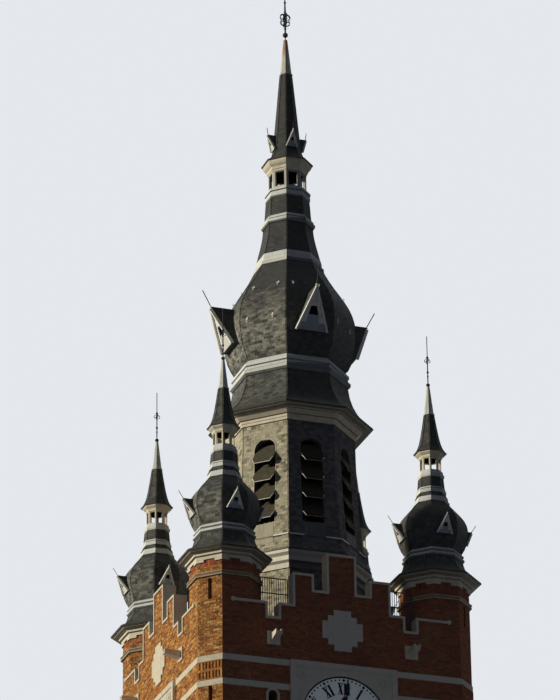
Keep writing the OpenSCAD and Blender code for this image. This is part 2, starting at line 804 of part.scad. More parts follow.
// Boarded dormer, hollow behind its front, with an opening that narrows upwards
module gablet(half_w, foot, apex, back_y) {
  lean = atan2(apex[0] - foot[0], apex[1] - foot[1]);
  slope = norm([apex[0] - foot[0], apex[1] - foot[1]]);
  difference() {
    gablet_block(half_w, foot, apex, back_y, 0);
    gablet_block(half_w, foot, apex, back_y - 1, gablet_t);
    translate([0, -foot[0], foot[1]]) rotate([90 + lean, 0, 0]) linear_extrude(4 * gablet_t, center = true)
      polygon([[-0.31 * half_w, 0.33 * slope], [0.31 * half_w, 0.33 * slope],
        [0.19 * half_w, 0.52 * slope], [-0.19 * half_w, 0.52 * slope]]);
  }
}

// Rod on the apex of a gablet
module gablet_rod(apex, dy, dz, r) {
  translate([0, -apex[0] + 20, apex[1] - 40])
    rotate([atan2(dy, dz), 0, 0]) cylinder(r = r, h = norm([dy, dz]) + 40);
}

// A roof outline grown by the seat and closed on the axis, to cut what stands on that roof
function cutter(line) = let (n = len(line))
  concat([for (p = line) [p[0] + seat, p[1]]], [[0, line[n - 1][1]], [0, line[0][1]]]);

module main_gablets() {
  foot = [bulb_r * cos(22.5) + 130, bulb_z + 0.194 * bulb_h];
  apex = [foot[0] + gablet_lean, foot[1] + gablet_h];
  color(slate) on_faces() difference() {
    union() {
      gablet(gablet_w / 2, foot, apex, neck_r * cos(22.5) - 100);
      gablet_rod(apex, 300, 570, 16);
    }
    octagon_ring(cutter(bulb_line));
  }
}

module spire_gablets() {
  foot = [spire_knee[0] + 20, spire_knee[1] - 20];
  apex = [foot[0] + 0.345 * spire_gablet_h, foot[1] + spire_gablet_h];
  color(slate) on_faces() difference() {
    union() {
      gablet(spire_gablet_w / 2, foot, apex, spire_knee[0] / 2);
      gablet_rod(apex, 40, 260, 12);
    }
    octagon_ring(cutter(spire_line));
  }
}

// Corner turrets

tz = turret_eave_z;
t_neck_z = tz + turret_skirt_h;
t_neck_h = 300;
t_bulb_z = t_neck_z + t_neck_h;
t_bulb_top_z = t_bulb_z + turret_bulb_h;
t_band3_h = 200;
t_band2_z = t_bulb_top_z + t_band3_h + 160;
t_band2_h = 210;
t_sill_z = t_band2_z + t_band2_h + 360;
t_sill_h = 240;
t_lantern_z = t_sill_z + t_sill_h;
t_lantern_top = t_lantern_z + turret_lantern_h;
t_cornice_h = 200;
t_spire_z = t_lantern_top + t_cornice_h;
t_spire_top = t_spire_z + turret_spire_h;

module string_courses() {
  color(stone) on_turrets() difference() {
    translate([0, 0, string_z]) octagon(shaft_r + string_out / cos(22.5), string_h);
    translate([0, 0, string_z - 1]) octagon(shaft_r + seat, string_h + 2);
  }
}

// Stepped eaves cornice with a block on each corner
module turret_cornices() {
  z = shaft_top;
  r = shaft_r;
  block_w = 480;
  block_h = 85;
  color(cream) on_turrets() union() {
    octagon_ring([
      [r - shaft_wall, z], [r + 60, z], [r + 60, z + 110], [r + 145, z + 125], [r + 145, z + 195],
      [turret_eave_r - 90, tz - 30], [turret_eave_r - 90, tz], [r - shaft_wall, tz]
    ]);
    intersection() {
      difference() {
        translate([0, 0, z - block_h]) octagon(r + 60, block_h + 1);
        translate([0, 0, z - block_h - 1]) octagon(r, block_h + 3);
      }
      for (a = [22.5:45:337.5]) rotate(a) translate([r - block_w / 2, -block_w / 2, z - 2 * block_h])
        cube([block_w, block_w, 3 * block_h]);
    }
  }
}

t_skirt_line = skirt(turret_eave_r, tz + 50, turret_neck_r, t_neck_z, 5);
t_bulb_line = bulb(turret_neck_r - 40, turret_bulb_r, turret_top_r, t_bulb_z, turret_bulb_h,
  [0.11, 0.26, 0.44, 0.7, 0.82], [4, 6]);

// Slated skirt, bulb and the two short cones above it
module turret_roofs() {
  t = turret_roof_t;
  q = turret_top_r;
  color(slate) on_turrets() {
    octagon_ring(skirt_shell(t_skirt_line, tz, t));
    octagon_ring(bulb_shell(t_bulb_line, t, t_bulb_z, turret_bulb_h));
    octagon_ring(shell([[q - 30, t_bulb_top_z + t_band3_h], [q - 110, t_band2_z]], t));
    octagon_ring(shell([[q - 130, t_band2_z + t_band2_h], [turret_lantern_r + 55, t_sill_z]], t));
  }
}

// Pale metal bands at the neck, above the bulb and under the lantern
module turret_bands() {
  r = turret_neck_r;
  q = turret_top_r;
  z = t_neck_z;
  b = t_bulb_top_z;
  c = t_band2_z;
  color(zinc) on_turrets() {
    octagon_ring([[r - 80, z], [r + 30, z], [r + 70, z + 40], [r + 70, z + 100], [r + 10, z + 140],
      [r + 50, z + 190], [r + 50, z + 230], [r - 40, z + t_neck_h], [r - 80, z + t_neck_h]]);
    octagon_ring([[q - 80, b], [q + 30, b], [q + 25, b + 80], [q - 10, b + 110], [q - 30, b + t_band3_h],
      [q - 110, b + t_band3_h]]);
    octagon_ring([[q - 190, c], [q - 80, c], [q - 70, c + 30], [q - 70, c + 110], [q - 120, c + 122],
      [q - 120, c + 138], [q - 95, c + 150], [q - 95, c + 185], [q - 130, c + t_band2_h],
      [q - 210, c + t_band2_h]]);
  }
}

// Sill, corner posts and cornice of the small lanterns
module turret_lanterns() {
  s = t_sill_z;
  r = turret_lantern_r;
  h = turret_lantern_h;
  e = turret_lantern_eave_r;
  post = 75;
  color(cream) on_turrets() {
    octagon_ring([[r - 25, s], [r + 65, s], [r + 95, s + 50], [r + 95, s + 130], [r + 55, s + 170],
      [r + 55, s + t_sill_h], [r - 105, s + t_sill_h], [r - 105, s + t_sill_h - 50]]);
    difference() {
      translate([0, 0, t_lantern_z + seat]) octagon(r, h - 2 * seat);
      translate([0, 0, t_lantern_z - 1]) octagon(r - post, h + 2);
      for (a = [0:45:315]) rotate(a) translate([-r * sin(22.5) + 0.55 * post, -r, t_lantern_z + 30])
        cube([2 * r * sin(22.5) - 1.1 * post, r, h - 50]);
    }
    octagon_ring([[r - post, t_lantern_top], [r + 20, t_lantern_top], [r + 30, t_lantern_top + 30],
      [r + 35, t_lantern_top + 80], [e - 60, t_lantern_top + 150], [e - 60, t_spire_z],
      [r - post, t_spire_z]]);
  }
}

module turret_spirelets() {
  e = turret_lantern_eave_r;
  color(slate) on_turrets() octagon_ring(concat([[e, t_spire_z]],
    curve([e, t_spire_z + 30], [e - 170, t_spire_z + 120], [0.58 * e, t_spire_z + 0.27 * turret_spire_h],
      [turret_spire_top_r, t_spire_top], 6),
    [[turret_spire_top_r - 50, t_spire_top], [turret_lantern_r - 75, t_spire_z]]));
}

// Metal cones with balls on rods that run down through the cones
module turret_finials() {
  r = turret_spire_top_r;
  cone_top = t_spire_top + turret_cap_h;
  color(zinc) on_turrets() octagon_ring([[0, t_spire_top], [r + 20, t_spire_top], [r + 20, t_spire_top + 50],
    [r - 10, t_spire_top + 70], [0.3 * r, cone_top], [0, cone_top]]);
  color(iron) on_turrets() {
    translate([0, 0, t_spire_top + 50]) cylinder(r = 14, h = turret_cap_h + turret_rod_h - 50);
    translate([0, 0, cone_top + 70]) sphere(r = 65);
    translate([0, 0, cone_top + 0.29 * turret_rod_h]) sphere(r = 40);
    translate([0, 0, cone_top + 0.58 * turret_rod_h]) sphere(r = 45);
  }
}

module turret_gablets() {
  foot = [turret_bulb_r * cos(22.5) + 5, t_bulb_z + 0.239 * turret_bulb_h];
  apex = [foot[0] + 0.52 * turret_gablet_h, foot[1] + turret_gablet_h];
  color(slate) on_turrets() on_faces() difference() {
    union() {
      gablet(turret_gablet_w / 2, foot, apex, foot[0] - 280);
      gablet_rod(apex, 160, 250, 10);
    }
    octagon_ring(cutter(t_bulb_line));
  }
}

front_wall();
right_wall();
back_wall();
left_wall();
front_left_shaft();
front_right_shaft();
back_left_shaft();
back_right_shaft();
parapet_copings();
upper_stone_bands();
lower_stone_bands();
clock_panels();
clock_dials();
minute_hand_front();
minute_hand_right();
minute_hand_back();
minute_hand_left();
hour_hand_front();
hour_hand_right();
hour_hand_back();
hour_hand_left();
stepped_panels();
water_spouts();
clock_room_floor();
roof_walk();
parapet_railings();
drum_base();
lower_cornice();
belfry_drum();
louvre_boards();
main_cornice();
main_skirt();
neck_band();
main_bulb();
bulb_top_band();
upper_roof();
roof_ring();
lantern_sill();
main_lantern();
lantern_cornice();
main_spire();
spire_finial();
main_gablets();
spire_gablets();
string_courses();
turret_cornices();
turret_roofs();
turret_bands();
turret_lanterns();
turret_spirelets();
turret_finials();
turret_gablets();
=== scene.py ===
"""Finishes for the head of a town hall clock tower: bricks, slates, metalwork, dials and the stage."""

import json
import math

import bmesh
import bpy
import numpy as np
from bpy.props import FloatProperty, FloatVectorProperty, IntProperty, PointerProperty
from mathutils import Matrix, Vector
from mathutils.bvhtree import BVHTree


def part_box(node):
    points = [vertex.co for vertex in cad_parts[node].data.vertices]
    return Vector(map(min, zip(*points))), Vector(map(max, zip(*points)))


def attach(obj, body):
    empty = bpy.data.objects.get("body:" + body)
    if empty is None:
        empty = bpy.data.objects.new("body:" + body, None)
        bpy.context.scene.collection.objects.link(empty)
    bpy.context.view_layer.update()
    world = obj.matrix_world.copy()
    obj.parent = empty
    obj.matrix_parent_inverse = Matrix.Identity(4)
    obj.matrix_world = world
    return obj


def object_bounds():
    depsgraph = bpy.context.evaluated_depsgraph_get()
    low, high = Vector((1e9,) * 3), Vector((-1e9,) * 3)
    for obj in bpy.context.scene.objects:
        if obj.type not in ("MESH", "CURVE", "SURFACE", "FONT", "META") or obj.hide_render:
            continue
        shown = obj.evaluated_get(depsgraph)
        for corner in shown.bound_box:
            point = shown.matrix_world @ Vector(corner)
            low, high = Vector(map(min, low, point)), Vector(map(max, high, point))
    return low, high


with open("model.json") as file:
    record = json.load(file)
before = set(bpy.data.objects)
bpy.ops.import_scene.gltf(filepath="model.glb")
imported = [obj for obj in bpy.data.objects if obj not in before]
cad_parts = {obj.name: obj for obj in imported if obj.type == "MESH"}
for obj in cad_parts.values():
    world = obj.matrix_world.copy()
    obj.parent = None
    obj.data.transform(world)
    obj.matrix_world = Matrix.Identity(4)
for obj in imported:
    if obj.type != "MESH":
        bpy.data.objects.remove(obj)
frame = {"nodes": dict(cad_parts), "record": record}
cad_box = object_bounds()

bl_info = {
    "name": "Clock Tower Finishes",
    "version": (1, 0, 0),
    "blender": (4, 5, 0),
    "location": "3D View > Sidebar > Clock Tower",
    "description": "Lays bricks and slates and adds the metalwork, dials and stage of a clock tower head",
    "category": "Object",
}

TOWER = "tower"
UP = Vector((0, 0, 1))
QUARTERS = (0, 90, 180, 270)
EIGHTHS = tuple(range(0, 360, 45))
SIDES = {"front": 0, "right": 90, "back": 180, "left": 270}
TURRETS = ("front_left", "front_right", "back_left", "back_right")
OCTAGON_SLOPE = math.tan(math.radians(22.5))
NUMERALS = ("XII", "I", "II", "III", "IIII", "V", "VI", "VII", "VIII", "IX", "X", "XI")

# Foot and head of the latticed courses of the turret shafts
LATTICE = (4.02, 4.64)
# Height and module of the top course of the shafts, whose bricks stand on end
UPENDED_HEIGHT = 0.23
UPENDED_MODULE = 0.075
# Half width, sill and crown of the belfry windows, and a place where the wall beside them is plain
WINDOW = (0.39, 10.72, 13.81)
BESIDE_WINDOWS = 0.6
TURRET_LANTERN_FOOT = 12.33
SPIRE_CONE_TOP = 29.85
TURRET_CONE_TOP = 15.45
# How far added pieces reach into the surface that carries them
BEDDED = 0.004
# How far the surface of a bare wall or of a roof may lie from its expected depth
WALL_SLACK = 0.004
ROOF_SLACK = 0.03
# Shortest bare stretch of wall or roof that is worth covering
SHORTEST_SPAN = 0.02


# Settings

def length(name, default, text):
    """A length in metres that a user may change."""
    return FloatProperty(name=name, description=text, default=default, unit="LENGTH")


def colour(name, default, text):
    """A finish colour that a user may change."""
    return FloatVectorProperty(name=name, description=text, default=default, subtype="COLOR", min=0, max=1)


def strength(name, default, text):
    """The strength of a light, without a unit."""
    return FloatProperty(name=name, description=text, default=default, min=0)


def seed(default, text):
    """The seed of small random differences."""
    return IntProperty(name="Seed", description=text, default=default)


class BrickSettings(bpy.types.PropertyGroup):
    module: length("Brick module", 0.225, "Length of a brick with its joint")
    course: length("Course", 0.075, "Height of a course with its joint")
    joint: length("Joint", 0.011, "Width of the mortar joints")
    proud: length("Face", 0.007, "How far the brick faces stand out of the mortar")
    seed: seed(7, "Seed of the small differences between bricks")


class SlateSettings(bpy.types.PropertyGroup):
    width: length("Slate width", 0.17, "Width of a slate")
    gauge: length("Gauge", 0.092, "Height of a slate that shows")
    lift: length("Tail", 0.007, "How far the tail of a slate stands out")
    gap: length("Gap", 0.003, "Gap between neighbouring slates")
    seed: seed(11, "Seed of the small differences between slates")


class ColourSettings(bpy.types.PropertyGroup):
    brick: colour("Brick", (0.40, 0.145, 0.055), "Common colour of the bricks")
    mortar: colour("Mortar", (0.30, 0.18, 0.085), "Colour of the joints")
    stone: colour("Stone", (0.60, 0.55, 0.43), "Dressed stone")
    roof_slate: colour("Roof slate", (0.068, 0.071, 0.070), "Slates of roofs and bulbs")
    # The wall slate colour shows only on the lit copy of the drum's slates, which is painted light.
    wall_slate: colour("Wall slate", (0.42, 0.385, 0.285), "Lichen-grown slates of the drum")
    zinc: colour("Zinc", (0.56, 0.58, 0.56), "Bands of sheet metal")
    cream: colour("Cream paint", (0.70, 0.64, 0.50), "Painted cornices and lanterns")
    iron: colour("Iron", (0.03, 0.032, 0.04), "Rods, scrolls and railings")
    dial: colour("Dial", (0.80, 0.85, 0.90), "Enamel of the dials")
    cap: colour("Cap metal", (0.60, 0.59, 0.50), "Weathered metal of the cones")


class StageSettings(bpy.types.PropertyGroup):
    key: strength("Key", 3.5, "Strength of the light from the left")
    back: strength("Back", 1.5, "Strength of the light from behind on the right")
    fill: strength("Fill", 0.066, "Strength of the light from all round")
    floor: length("Floor", 9.0, "Radius of the floor")


class TowerSettings(bpy.types.PropertyGroup):
    bricks: PointerProperty(type=BrickSettings)
    slates: PointerProperty(type=SlateSettings)
    colours: PointerProperty(type=ColourSettings)
    stage: PointerProperty(type=StageSettings)


def settings():
    return bpy.context.scene.clock_tower


def chosen(name):
    """One of the colours of the settings."""
    return tuple(getattr(settings().colours, name))


# Meshes

BLOCK_FACES = np.array([(3, 2, 1, 0), (4, 5, 6, 7), (0, 1, 5, 4), (1, 2, 6, 5), (2, 3, 7, 6), (3, 0, 4, 7)])


def rectangle(u0, u1, z0, z1):
    """Outline of an upright rectangle as (u, z) pairs."""
    return [(u0, z0), (u1, z0), (u1, z1), (u0, z1)]


def circle(count):
    """Points spread evenly round a circle of radius 1."""
    return [(math.cos(t), math.sin(t)) for t in (2 * math.pi * k / count for k in range(count))]


def mesh_object(name, points, faces, material, tones=None, body=TOWER, smooth=False):
    """A piece from its points and faces, riding on a body, with one tone a point for its finish."""
    mesh = bpy.data.meshes.new(name)
    if isinstance(faces, np.ndarray):
        count, sides = faces.shape
        mesh.vertices.add(len(points))
        mesh.vertices.foreach_set("co", np.asarray(points, np.float32).ravel())
        mesh.loops.add(count * sides)
        mesh.loops.foreach_set("vertex_index", faces.astype(np.int32).ravel())
        mesh.polygons.add(count)
        mesh.polygons.foreach_set("loop_start", np.arange(0, count * sides, sides, dtype=np.int32))
    else:
        mesh.from_pydata([tuple(p) for p in points], [], faces)
    mesh.update(calc_edges=True)
    mesh.validate()
    if tones is not None:
        layer = mesh.attributes.new("tone", "FLOAT", "POINT")
        layer.data.foreach_set("value", np.asarray(tones, np.float32))
    mesh.polygons.foreach_set("use_smooth", np.full(len(mesh.polygons), smooth))
    mesh.materials.append(material)
    piece = bpy.data.objects.new(name, mesh)
    bpy.context.scene.collection.objects.link(piece)
    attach(piece, body)
    return piece


class Blocks:
    """Six-sided blocks gathered into one piece, each with a tone for its finish."""

    def __init__(self, rng=None):
        self.corners, self.tones, self.rng = [], [], rng

    def add(self, corners, tone):
        """A block from its four back corners and its four front corners."""
        self.corners.append(corners)
        self.tones.append(tone)

    def slab(self, facet, outline, near, proud, tone):
        """A flat block from its outline, standing proud of a facet at the depth near."""
        depths = (near - BEDDED, near + proud)
        self.add([facet.point(u, z, depth) for depth in depths for u, z in outline], tone)

    def piece(self, name, finish_name, slot):
        if not self.corners:
            raise RuntimeError(f"{name} has no blocks")
        corners = np.asarray(self.corners, float)
        faces = (BLOCK_FACES[None] + 8 * np.arange(len(corners))[:, None, None]).reshape(-1, 4)
        mesh_object(name, corners.reshape(-1, 3), faces, finish(finish_name), np.repeat(self.tones, 8))


class Solids:
    """Many-sided solids gathered into one piece."""

    def __init__(self):
        self.points, self.faces = [], []

    def prism(self, facet, outline, back, front):
        """A flat outline of (u, z) pairs between two depths of a facet."""
        self.sweep([[facet.point(u, z, depth) for u, z in outline] for depth in (back, front)])

    def sweep(self, rings, closed=False):
        """Skins a row of rings of points; open rows get end caps."""
        start, sides = len(self.points), len(rings[0])
        for ring in rings:
            self.points.extend(ring)
        for i in range(len(rings) if closed else len(rings) - 1):
            a, b = start + i * sides, start + (i + 1) % len(rings) * sides
            for j in range(sides):
                k = (j + 1) % sides
                self.faces.append([a + j, a + k, b + k, b + j])
        if not closed:
            last = start + (len(rings) - 1) * sides
            self.faces.append([start + j for j in reversed(range(sides))])
            self.faces.append([last + j for j in range(sides)])

    def rod(self, path, radii, sides=8):
        """A round bar along a path of points, with one radius a point."""
        rings = []
        for i, point in enumerate(path):
            along = (path[min(i + 1, len(path) - 1)] - path[max(i - 1, 0)]).normalized()
            first = square_to(along)
            second = along.cross(first)
            rings.append([point + (first * c + second * s) * radii[i] for c, s in circle(sides)])
        self.sweep(rings)

    def piece(self, name, finish_name, slot, smooth=False):
        """The finished piece, with its faces turned outwards."""
        piece = mesh_object(name, self.points, self.faces, finish(finish_name), smooth=smooth)
        work = bmesh.new()
        work.from_mesh(piece.data)
        bmesh.ops.recalc_face_normals(work, faces=work.faces)
        work.to_mesh(piece.data)
        work.free()


def square_to(along):
    """A direction square to another one, and level unless that one is nearly upright."""
    return along.cross(UP if abs(along.z) < 0.9 else Vector((1, 0, 0))).normalized()


# Reading the frame

def turret_axis(name):
    """Place of the upright axis of a turret."""
    low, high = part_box(name + "_shaft")
    return ((low.x + high.x) / 2, (low.y + high.y) / 2)


def turret_axes():
    return [turret_axis(name) for name in TURRETS]


def away_from(point, axes=((0, 0),)):
    """Direction from the nearest of some upright axes towards a point."""
    x, y = min(axes, key=lambda axis: math.hypot(point.x - axis[0], point.y - axis[1]))
    return Vector((point.x - x, point.y - y, 0)).normalized()


class Probe:
    """Casts rays at the frame's nodes, to find which surface shows at a place."""

    def __init__(self):
        points, faces, self.owner = [], [], []
        for name, node in frame["nodes"].items():
            start = len(points)
            points.extend(tuple(v.co) for v in node.data.vertices)
            for polygon in node.data.polygons:
                faces.append([start + i for i in polygon.vertices])
                self.owner.append(name)
        self.tree = BVHTree.FromPolygons(points, faces)

    def cast(self, origin, direction, ignore, limit):
        """Name of the first node met and how far off it is, past the nodes to ignore."""
        travelled, step_past = 0.0, 0.002
        while travelled < limit:
            start = origin + direction * travelled
            hit, _, index, distance = self.tree.ray_cast(start, direction, limit - travelled)
            if hit is None:
                return None, limit
            travelled += distance
            if self.owner[index] not in ignore:
                return self.owner[index], travelled
            travelled += step_past
        return None, limit


class Facet:
    """A flat field of the building: across and rise lie in it, and out points away from it."""

    def __init__(self, origin, across, rise, out, probe=None, nodes=(), start=0.4, reach=3.2, ignore=()):
        self.origin, self.across, self.rise, self.out = origin, across, rise, out
        self.probe, self.nodes = probe, nodes
        self.start, self.reach, self.ignore = start, reach, ignore

    def point(self, u, z, depth=0.0):
        return self.origin + self.across * u + self.out * depth + self.rise * z

    def depth(self, u, z, near):
        """Distance of the shown surface from the axis plane, or None where another node covers it."""
        origin = self.point(u, z, near + self.start)
        name, distance = self.probe.cast(origin, -self.out, self.ignore, self.reach)
        return near + self.start - distance if name in self.nodes else None

    def spans(self, z, near, lo, hi, slack):
        """Runs of u at height z where the surface shows within slack of the depth near."""
        step, halvings = 0.04, 6

        def shows(u):
            found = self.depth(u, z, near)
            return found is not None and abs(found - near) < slack

        def edge(inside, outside):
            for _ in range(halvings):
                middle = (inside + outside) / 2
                inside, outside = (middle, outside) if shows(middle) else (inside, middle)
            return inside

        count = max(2, int(math.ceil((hi - lo) / step)))
        marks = [lo + (hi - lo) * i / count for i in range(count + 1)]
        state = [shows(u) for u in marks]
        found, begin = [], None
        for i, u in enumerate(marks):
            if state[i] and begin is None:
                begin = u if i == 0 else edge(u, marks[i - 1])
            if begin is not None and (not state[i] or i == count):
                end = u if state[i] else edge(marks[i - 1], u)
                found.append((begin, end))
                begin = None
        return [span for span in found if span[1] - span[0] > SHORTEST_SPAN]


def upright(angle, axis=(0, 0), **reading):
    """The upright facet at an angle round an axis, with heights measured from the base."""
    turn = math.radians(angle)
    return Facet(Vector((axis[0], axis[1], 0)), Vector((math.cos(turn), math.sin(turn), 0)), UP,
                 Vector((math.sin(turn), -math.cos(turn), 0)), **reading)


def paired_spans(low, high):
    """Spans at the foot and the head of a course joined where they overlap: (foot, head) pairs."""
    return [(a, b) for a in low for b in high if min(a[1], b[1]) - max(a[0], b[0]) > SHORTEST_SPAN]


def cut_course(foot, head, module, shift, gap):
    """Cuts one course between slanted ends into pieces: (foot left, foot right, head left, head right)."""
    smallest_cut = 0.008
    lo, hi = min(foot[0], head[0]), max(foot[1], head[1])
    first = math.floor((lo - shift) / module)
    last = math.ceil((hi - shift) / module)
    cuts = [shift + k * module for k in range(first, last + 1)]
    pieces = []
    for left, right in zip(cuts, cuts[1:]):
        piece = [max(left + gap / 2, foot[0]), min(right - gap / 2, foot[1]),
                 max(left + gap / 2, head[0]), min(right - gap / 2, head[1])]
        if piece[1] - piece[0] < 0 and piece[3] - piece[2] < 0:
            continue
        piece[1], piece[3] = max(piece[0], piece[1]), max(piece[2], piece[3])
        if (piece[1] - piece[0]) + (piece[3] - piece[2]) > smallest_cut:
            pieces.append(piece)
    return pieces


# Brickwork

def brick_course(field, foot, head, insets, module, shift, unevenness, blocks):
    """One course over the bare parts of a field: a facet, the depth of its face and its two ends."""
    facet, near, lo, hi = field
    brick, rng = settings().bricks, blocks.rng
    low = facet.spans(foot + insets[0], near, lo, hi, WALL_SLACK)
    high = facet.spans(head - insets[1], near, lo, hi, WALL_SLACK)
    for a, b in paired_spans(low, high):
        for left0, right0, left1, right1 in cut_course(a, b, module, shift, brick.joint):
            outline = [(left0, foot), (right0, foot), (right1, head), (left1, head)]
            blocks.slab(facet, outline, near, brick.proud * rng.uniform(*unevenness), rng.uniform())


def brick_face(field, z0, z1, blocks):
    """Running bond over the bare parts of a field, between two heights."""
    brick, lowest_course, inset = settings().bricks, 0.02, 0.002
    for k in range(int(math.floor(z0 / brick.course)), int(math.ceil(z1 / brick.course))):
        foot, head = max(k * brick.course, z0), min((k + 1) * brick.course - brick.joint, z1)
        if head - foot >= lowest_course:
            shift = (k % 2) * brick.module / 2
            brick_course(field, foot, head, (inset, inset), brick.module, shift, (0.6, 1.2), blocks)


def upended_bricks(field, top, blocks):
    """One course of bricks on end, under a height."""
    joint = settings().bricks.joint
    brick_course(field, top - UPENDED_HEIGHT, top - joint, (joint, 0), UPENDED_MODULE, 0, (0.9, 1.1), blocks)


def lattice(field, blocks):
    """Two rows of narrow upright slots between standing bricks, with plain courses round them."""
    facet, near, lo, hi = field
    foot, head = LATTICE
    middle, rail, slot, bar, proud = (foot + head) / 2, 0.035, 0.05, 0.065, 0.045
    count = int((hi - lo - 0.1) / (slot + bar))
    margin = (hi - lo - count * (slot + bar) + slot) / 2
    for z0, z1 in ((foot, foot + rail), (middle - rail, middle + rail), (head - rail, head)):
        blocks.slab(facet, rectangle(lo, hi, z0, z1), near, proud, blocks.rng.uniform(0.3, 0.8))
    for z0, z1 in ((foot + rail, middle - rail), (middle + rail, head - rail)):
        edges = [lo + margin + k * (slot + bar) for k in range(count)]
        for u0, u1 in [(lo, edges[0] - slot), *((u, u + bar) for u in edges), (edges[-1] + bar + slot, hi)]:
            blocks.slab(facet, rectangle(u0, u1, z0, z1), near, proud, blocks.rng.uniform(0.2, 1.0))


# Slating

def slate_courses(facet, z0, z1, u, near, gauge):
    """Courses up a facet, each as foot height, foot depth, head height and head depth."""
    step, jump, shortest = 0.01, 0.03, 0.3 * gauge
    count = int((z1 - z0) / step)
    heights = [z0 + (z1 - z0) * i / count for i in range(count + 1)]
    depths = [facet.depth(u, z, near) for z in heights]
    courses, begin, run = [], None, 0.0
    for i, here in enumerate(depths):
        if here is None:
            begin = None
            continue
        if begin is None or abs(here - depths[i - 1]) > jump:
            begin, run = i, 0.0
            continue
        run += math.hypot(heights[i] - heights[i - 1], here - depths[i - 1])
        last = i == count or depths[i + 1] is None or abs(depths[i + 1] - here) > jump
        if run >= gauge or (last and run > shortest):
            courses.append((heights[begin], depths[begin], heights[i], here))
            begin, run = i, 0.0
    return courses


def octagon_reach(depth):
    """Range of u that takes in one side of an octagon at a distance from its axis."""
    half, margin = depth * OCTAGON_SLOPE, 0.02
    return -half - margin, half + margin


def slate_facet(facet, courses, blocks, reach=octagon_reach):
    """Slates over the bare parts of one facet, bonded by half a slate from course to course."""
    slate, rng, inset, head_lift = settings().slates, blocks.rng, 0.003, 0.003
    for k, (foot, foot_depth, head, head_depth) in enumerate(courses):
        rise, run = head - foot, head_depth - foot_depth
        size = math.hypot(rise, run)
        out, up = rise / size, -run / size
        low = facet.spans(foot + inset, foot_depth, *reach(foot_depth), ROOF_SLACK)
        high = facet.spans(head - inset, head_depth, *reach(head_depth), ROOF_SLACK)
        shift = (k % 2) * slate.width / 2 + rng.uniform(-0.01, 0.01)
        for a, b in paired_spans(low, high):
            for left0, right0, left1, right1 in cut_course(a, b, slate.width, shift, slate.gap):
                tail = slate.lift * rng.uniform(0.75, 1.15)
                corners = []
                for lift0, lift1 in ((-BEDDED, -BEDDED), (tail, head_lift)):
                    corners += [facet.point(u, z + up * lift, depth + out * lift) for u, z, depth, lift in (
                        (left0, foot, foot_depth, lift0), (right0, foot, foot_depth, lift0),
                        (right1, head, head_depth, lift1), (left1, head, head_depth, lift1))]
                blocks.add(corners, rng.uniform())


def slate_ring(probe, node, blocks, axis=(0, 0), u=0.0):
    """Slates on all eight facets of an octagonal roof or wall."""
    slate, margin = settings().slates, 0.012
    blocks.rng = np.random.RandomState(slate.seed)
    low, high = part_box(node)
    reading = {"probe": probe, "nodes": {node}, "start": 0.4, "reach": 3.2 if axis == (0, 0) else 2.0}
    courses = slate_courses(upright(45, axis, **reading), low.z + margin, high.z - margin, u,
                            high.x - abs(axis[0]), slate.gauge)
    for angle in EIGHTHS:
        slate_facet(upright(angle, axis, **reading), courses, blocks)


# Finishes

